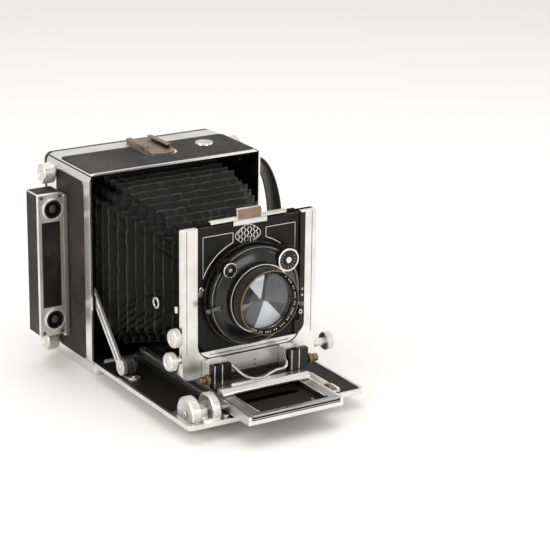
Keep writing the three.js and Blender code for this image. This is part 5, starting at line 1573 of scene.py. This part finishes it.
for index, (start, end, foot, finish) in enumerate(LEAVES):
    place_piece(shutter_leaf(index, start, end, foot), "panel_and_lens", finish)
soften("rear_barrel", 0.4, black_lacquer)
REAR_RADIUS = 20.0
shares = [1 - i / 8 for i in range(9)]
rear_crown = [(REAR_RADIUS * share, 3.2 * (1 - share**2) - 5) for share in shares]
rear_glass = [(0, -8), (REAR_RADIUS, -8), *rear_crown]
lens_turn("rear_glass", rear_glass, span("rear_barrel")[1].y, 80, lens_glass)
print("lens:", len(LEAVES), "leaves and 2 glasses")

# %% [markdown]
# ## The back
# The back is a black frame on four rods, with a square back that turns in it. A ground glass
# sits in the square, and a folding hood closes over the glass.
# %% Back
soften("back_carriage", 0.6, black_lacquer)
soften("revolving_back", 0.6, black_lacquer)
soften("focusing_hood", 0.7, body_leather)
low, high = span("focusing_hood")
slab(
    "hood_frame_line", (low.x + 8, high.y - 0.05, low.z + 8),
    (high.x - 8, high.y + 0.35, high.z - 8), "hood", black_lacquer, 0.3,
)
catch_profile = ((0, -0.2), (5.2, -0.2), (5.2, 1.2), (4.6, 1.7), (0, 1.7))
catch_profile = [(r, high.y + y) for r, y in catch_profile]
turn("hood_catch", catch_profile, (0, 0, low.z + 4.6), "y", 40, "hood", polished_nickel)
for node_name, shape, name, body, low_inset, top_inset in (
    ("revolving_back", small_screw, "turning_back_screws", "turning_back", 9, 9),
    ("back_carriage", large_screw, "back_frame_screws", "back_frame", 6, 12.5),
):
    low, high = span(node_name)
    corners = [
        (x, high.y - 0.05, z)
        for x in (low.x + low_inset, high.x - low_inset)
        for z in (low.z + low_inset, high.z - top_inset)
    ]
    screws(name, shape, corners, FACE_BACK, body)
hinge_barrel = [(0, -30), (2.4, -30), (2.4, 30), (0, 30)]
turn("hood_hinge", hinge_barrel, (0, 52.9, 147.9), "x", 24, "turning_back", polished_nickel)
print("back: frame, turning back and hood")

# %% Small fittings on the bellows and the standard
clip_x = -53.2
clip = ((3.2, -0.8), (3.6, -1.3), (5.0, -1.3), (5.4, -0.8), (5.4, 0.6), (3.2, 0.6))
clip = [(r, clip_x + x) for r, x in clip]
clip_place = (0, body_low - 60.5, 82)
turn("bellows_clip", clip, clip_place, "x", 40, "extension_track", polished_nickel)
slab(
    "upright_catch", (frame_low.x - 2.6, frame_high.y - 3.4, lens_height - 9),
    (frame_low.x + 0.2, frame_high.y - 0.6, lens_height - 3), "standard_frame", polished_nickel,
    0.7,
)
print("fittings: clip and catch")

# %% [markdown]
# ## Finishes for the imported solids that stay
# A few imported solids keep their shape: pins, shafts, windows and the iris. They only need the
# right material.
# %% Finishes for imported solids
def dress(material, *names):
    for name in names:
        nodes[name].data.materials.clear()
        nodes[name].data.materials.append(material)


dress(brushed_steel, "bed_hinge_pin", "focus_shaft")
dress(dark_steel, "iris")
dress(window_glass, "upper_window", "lower_window")
dress(screen_glass, "ground_glass")
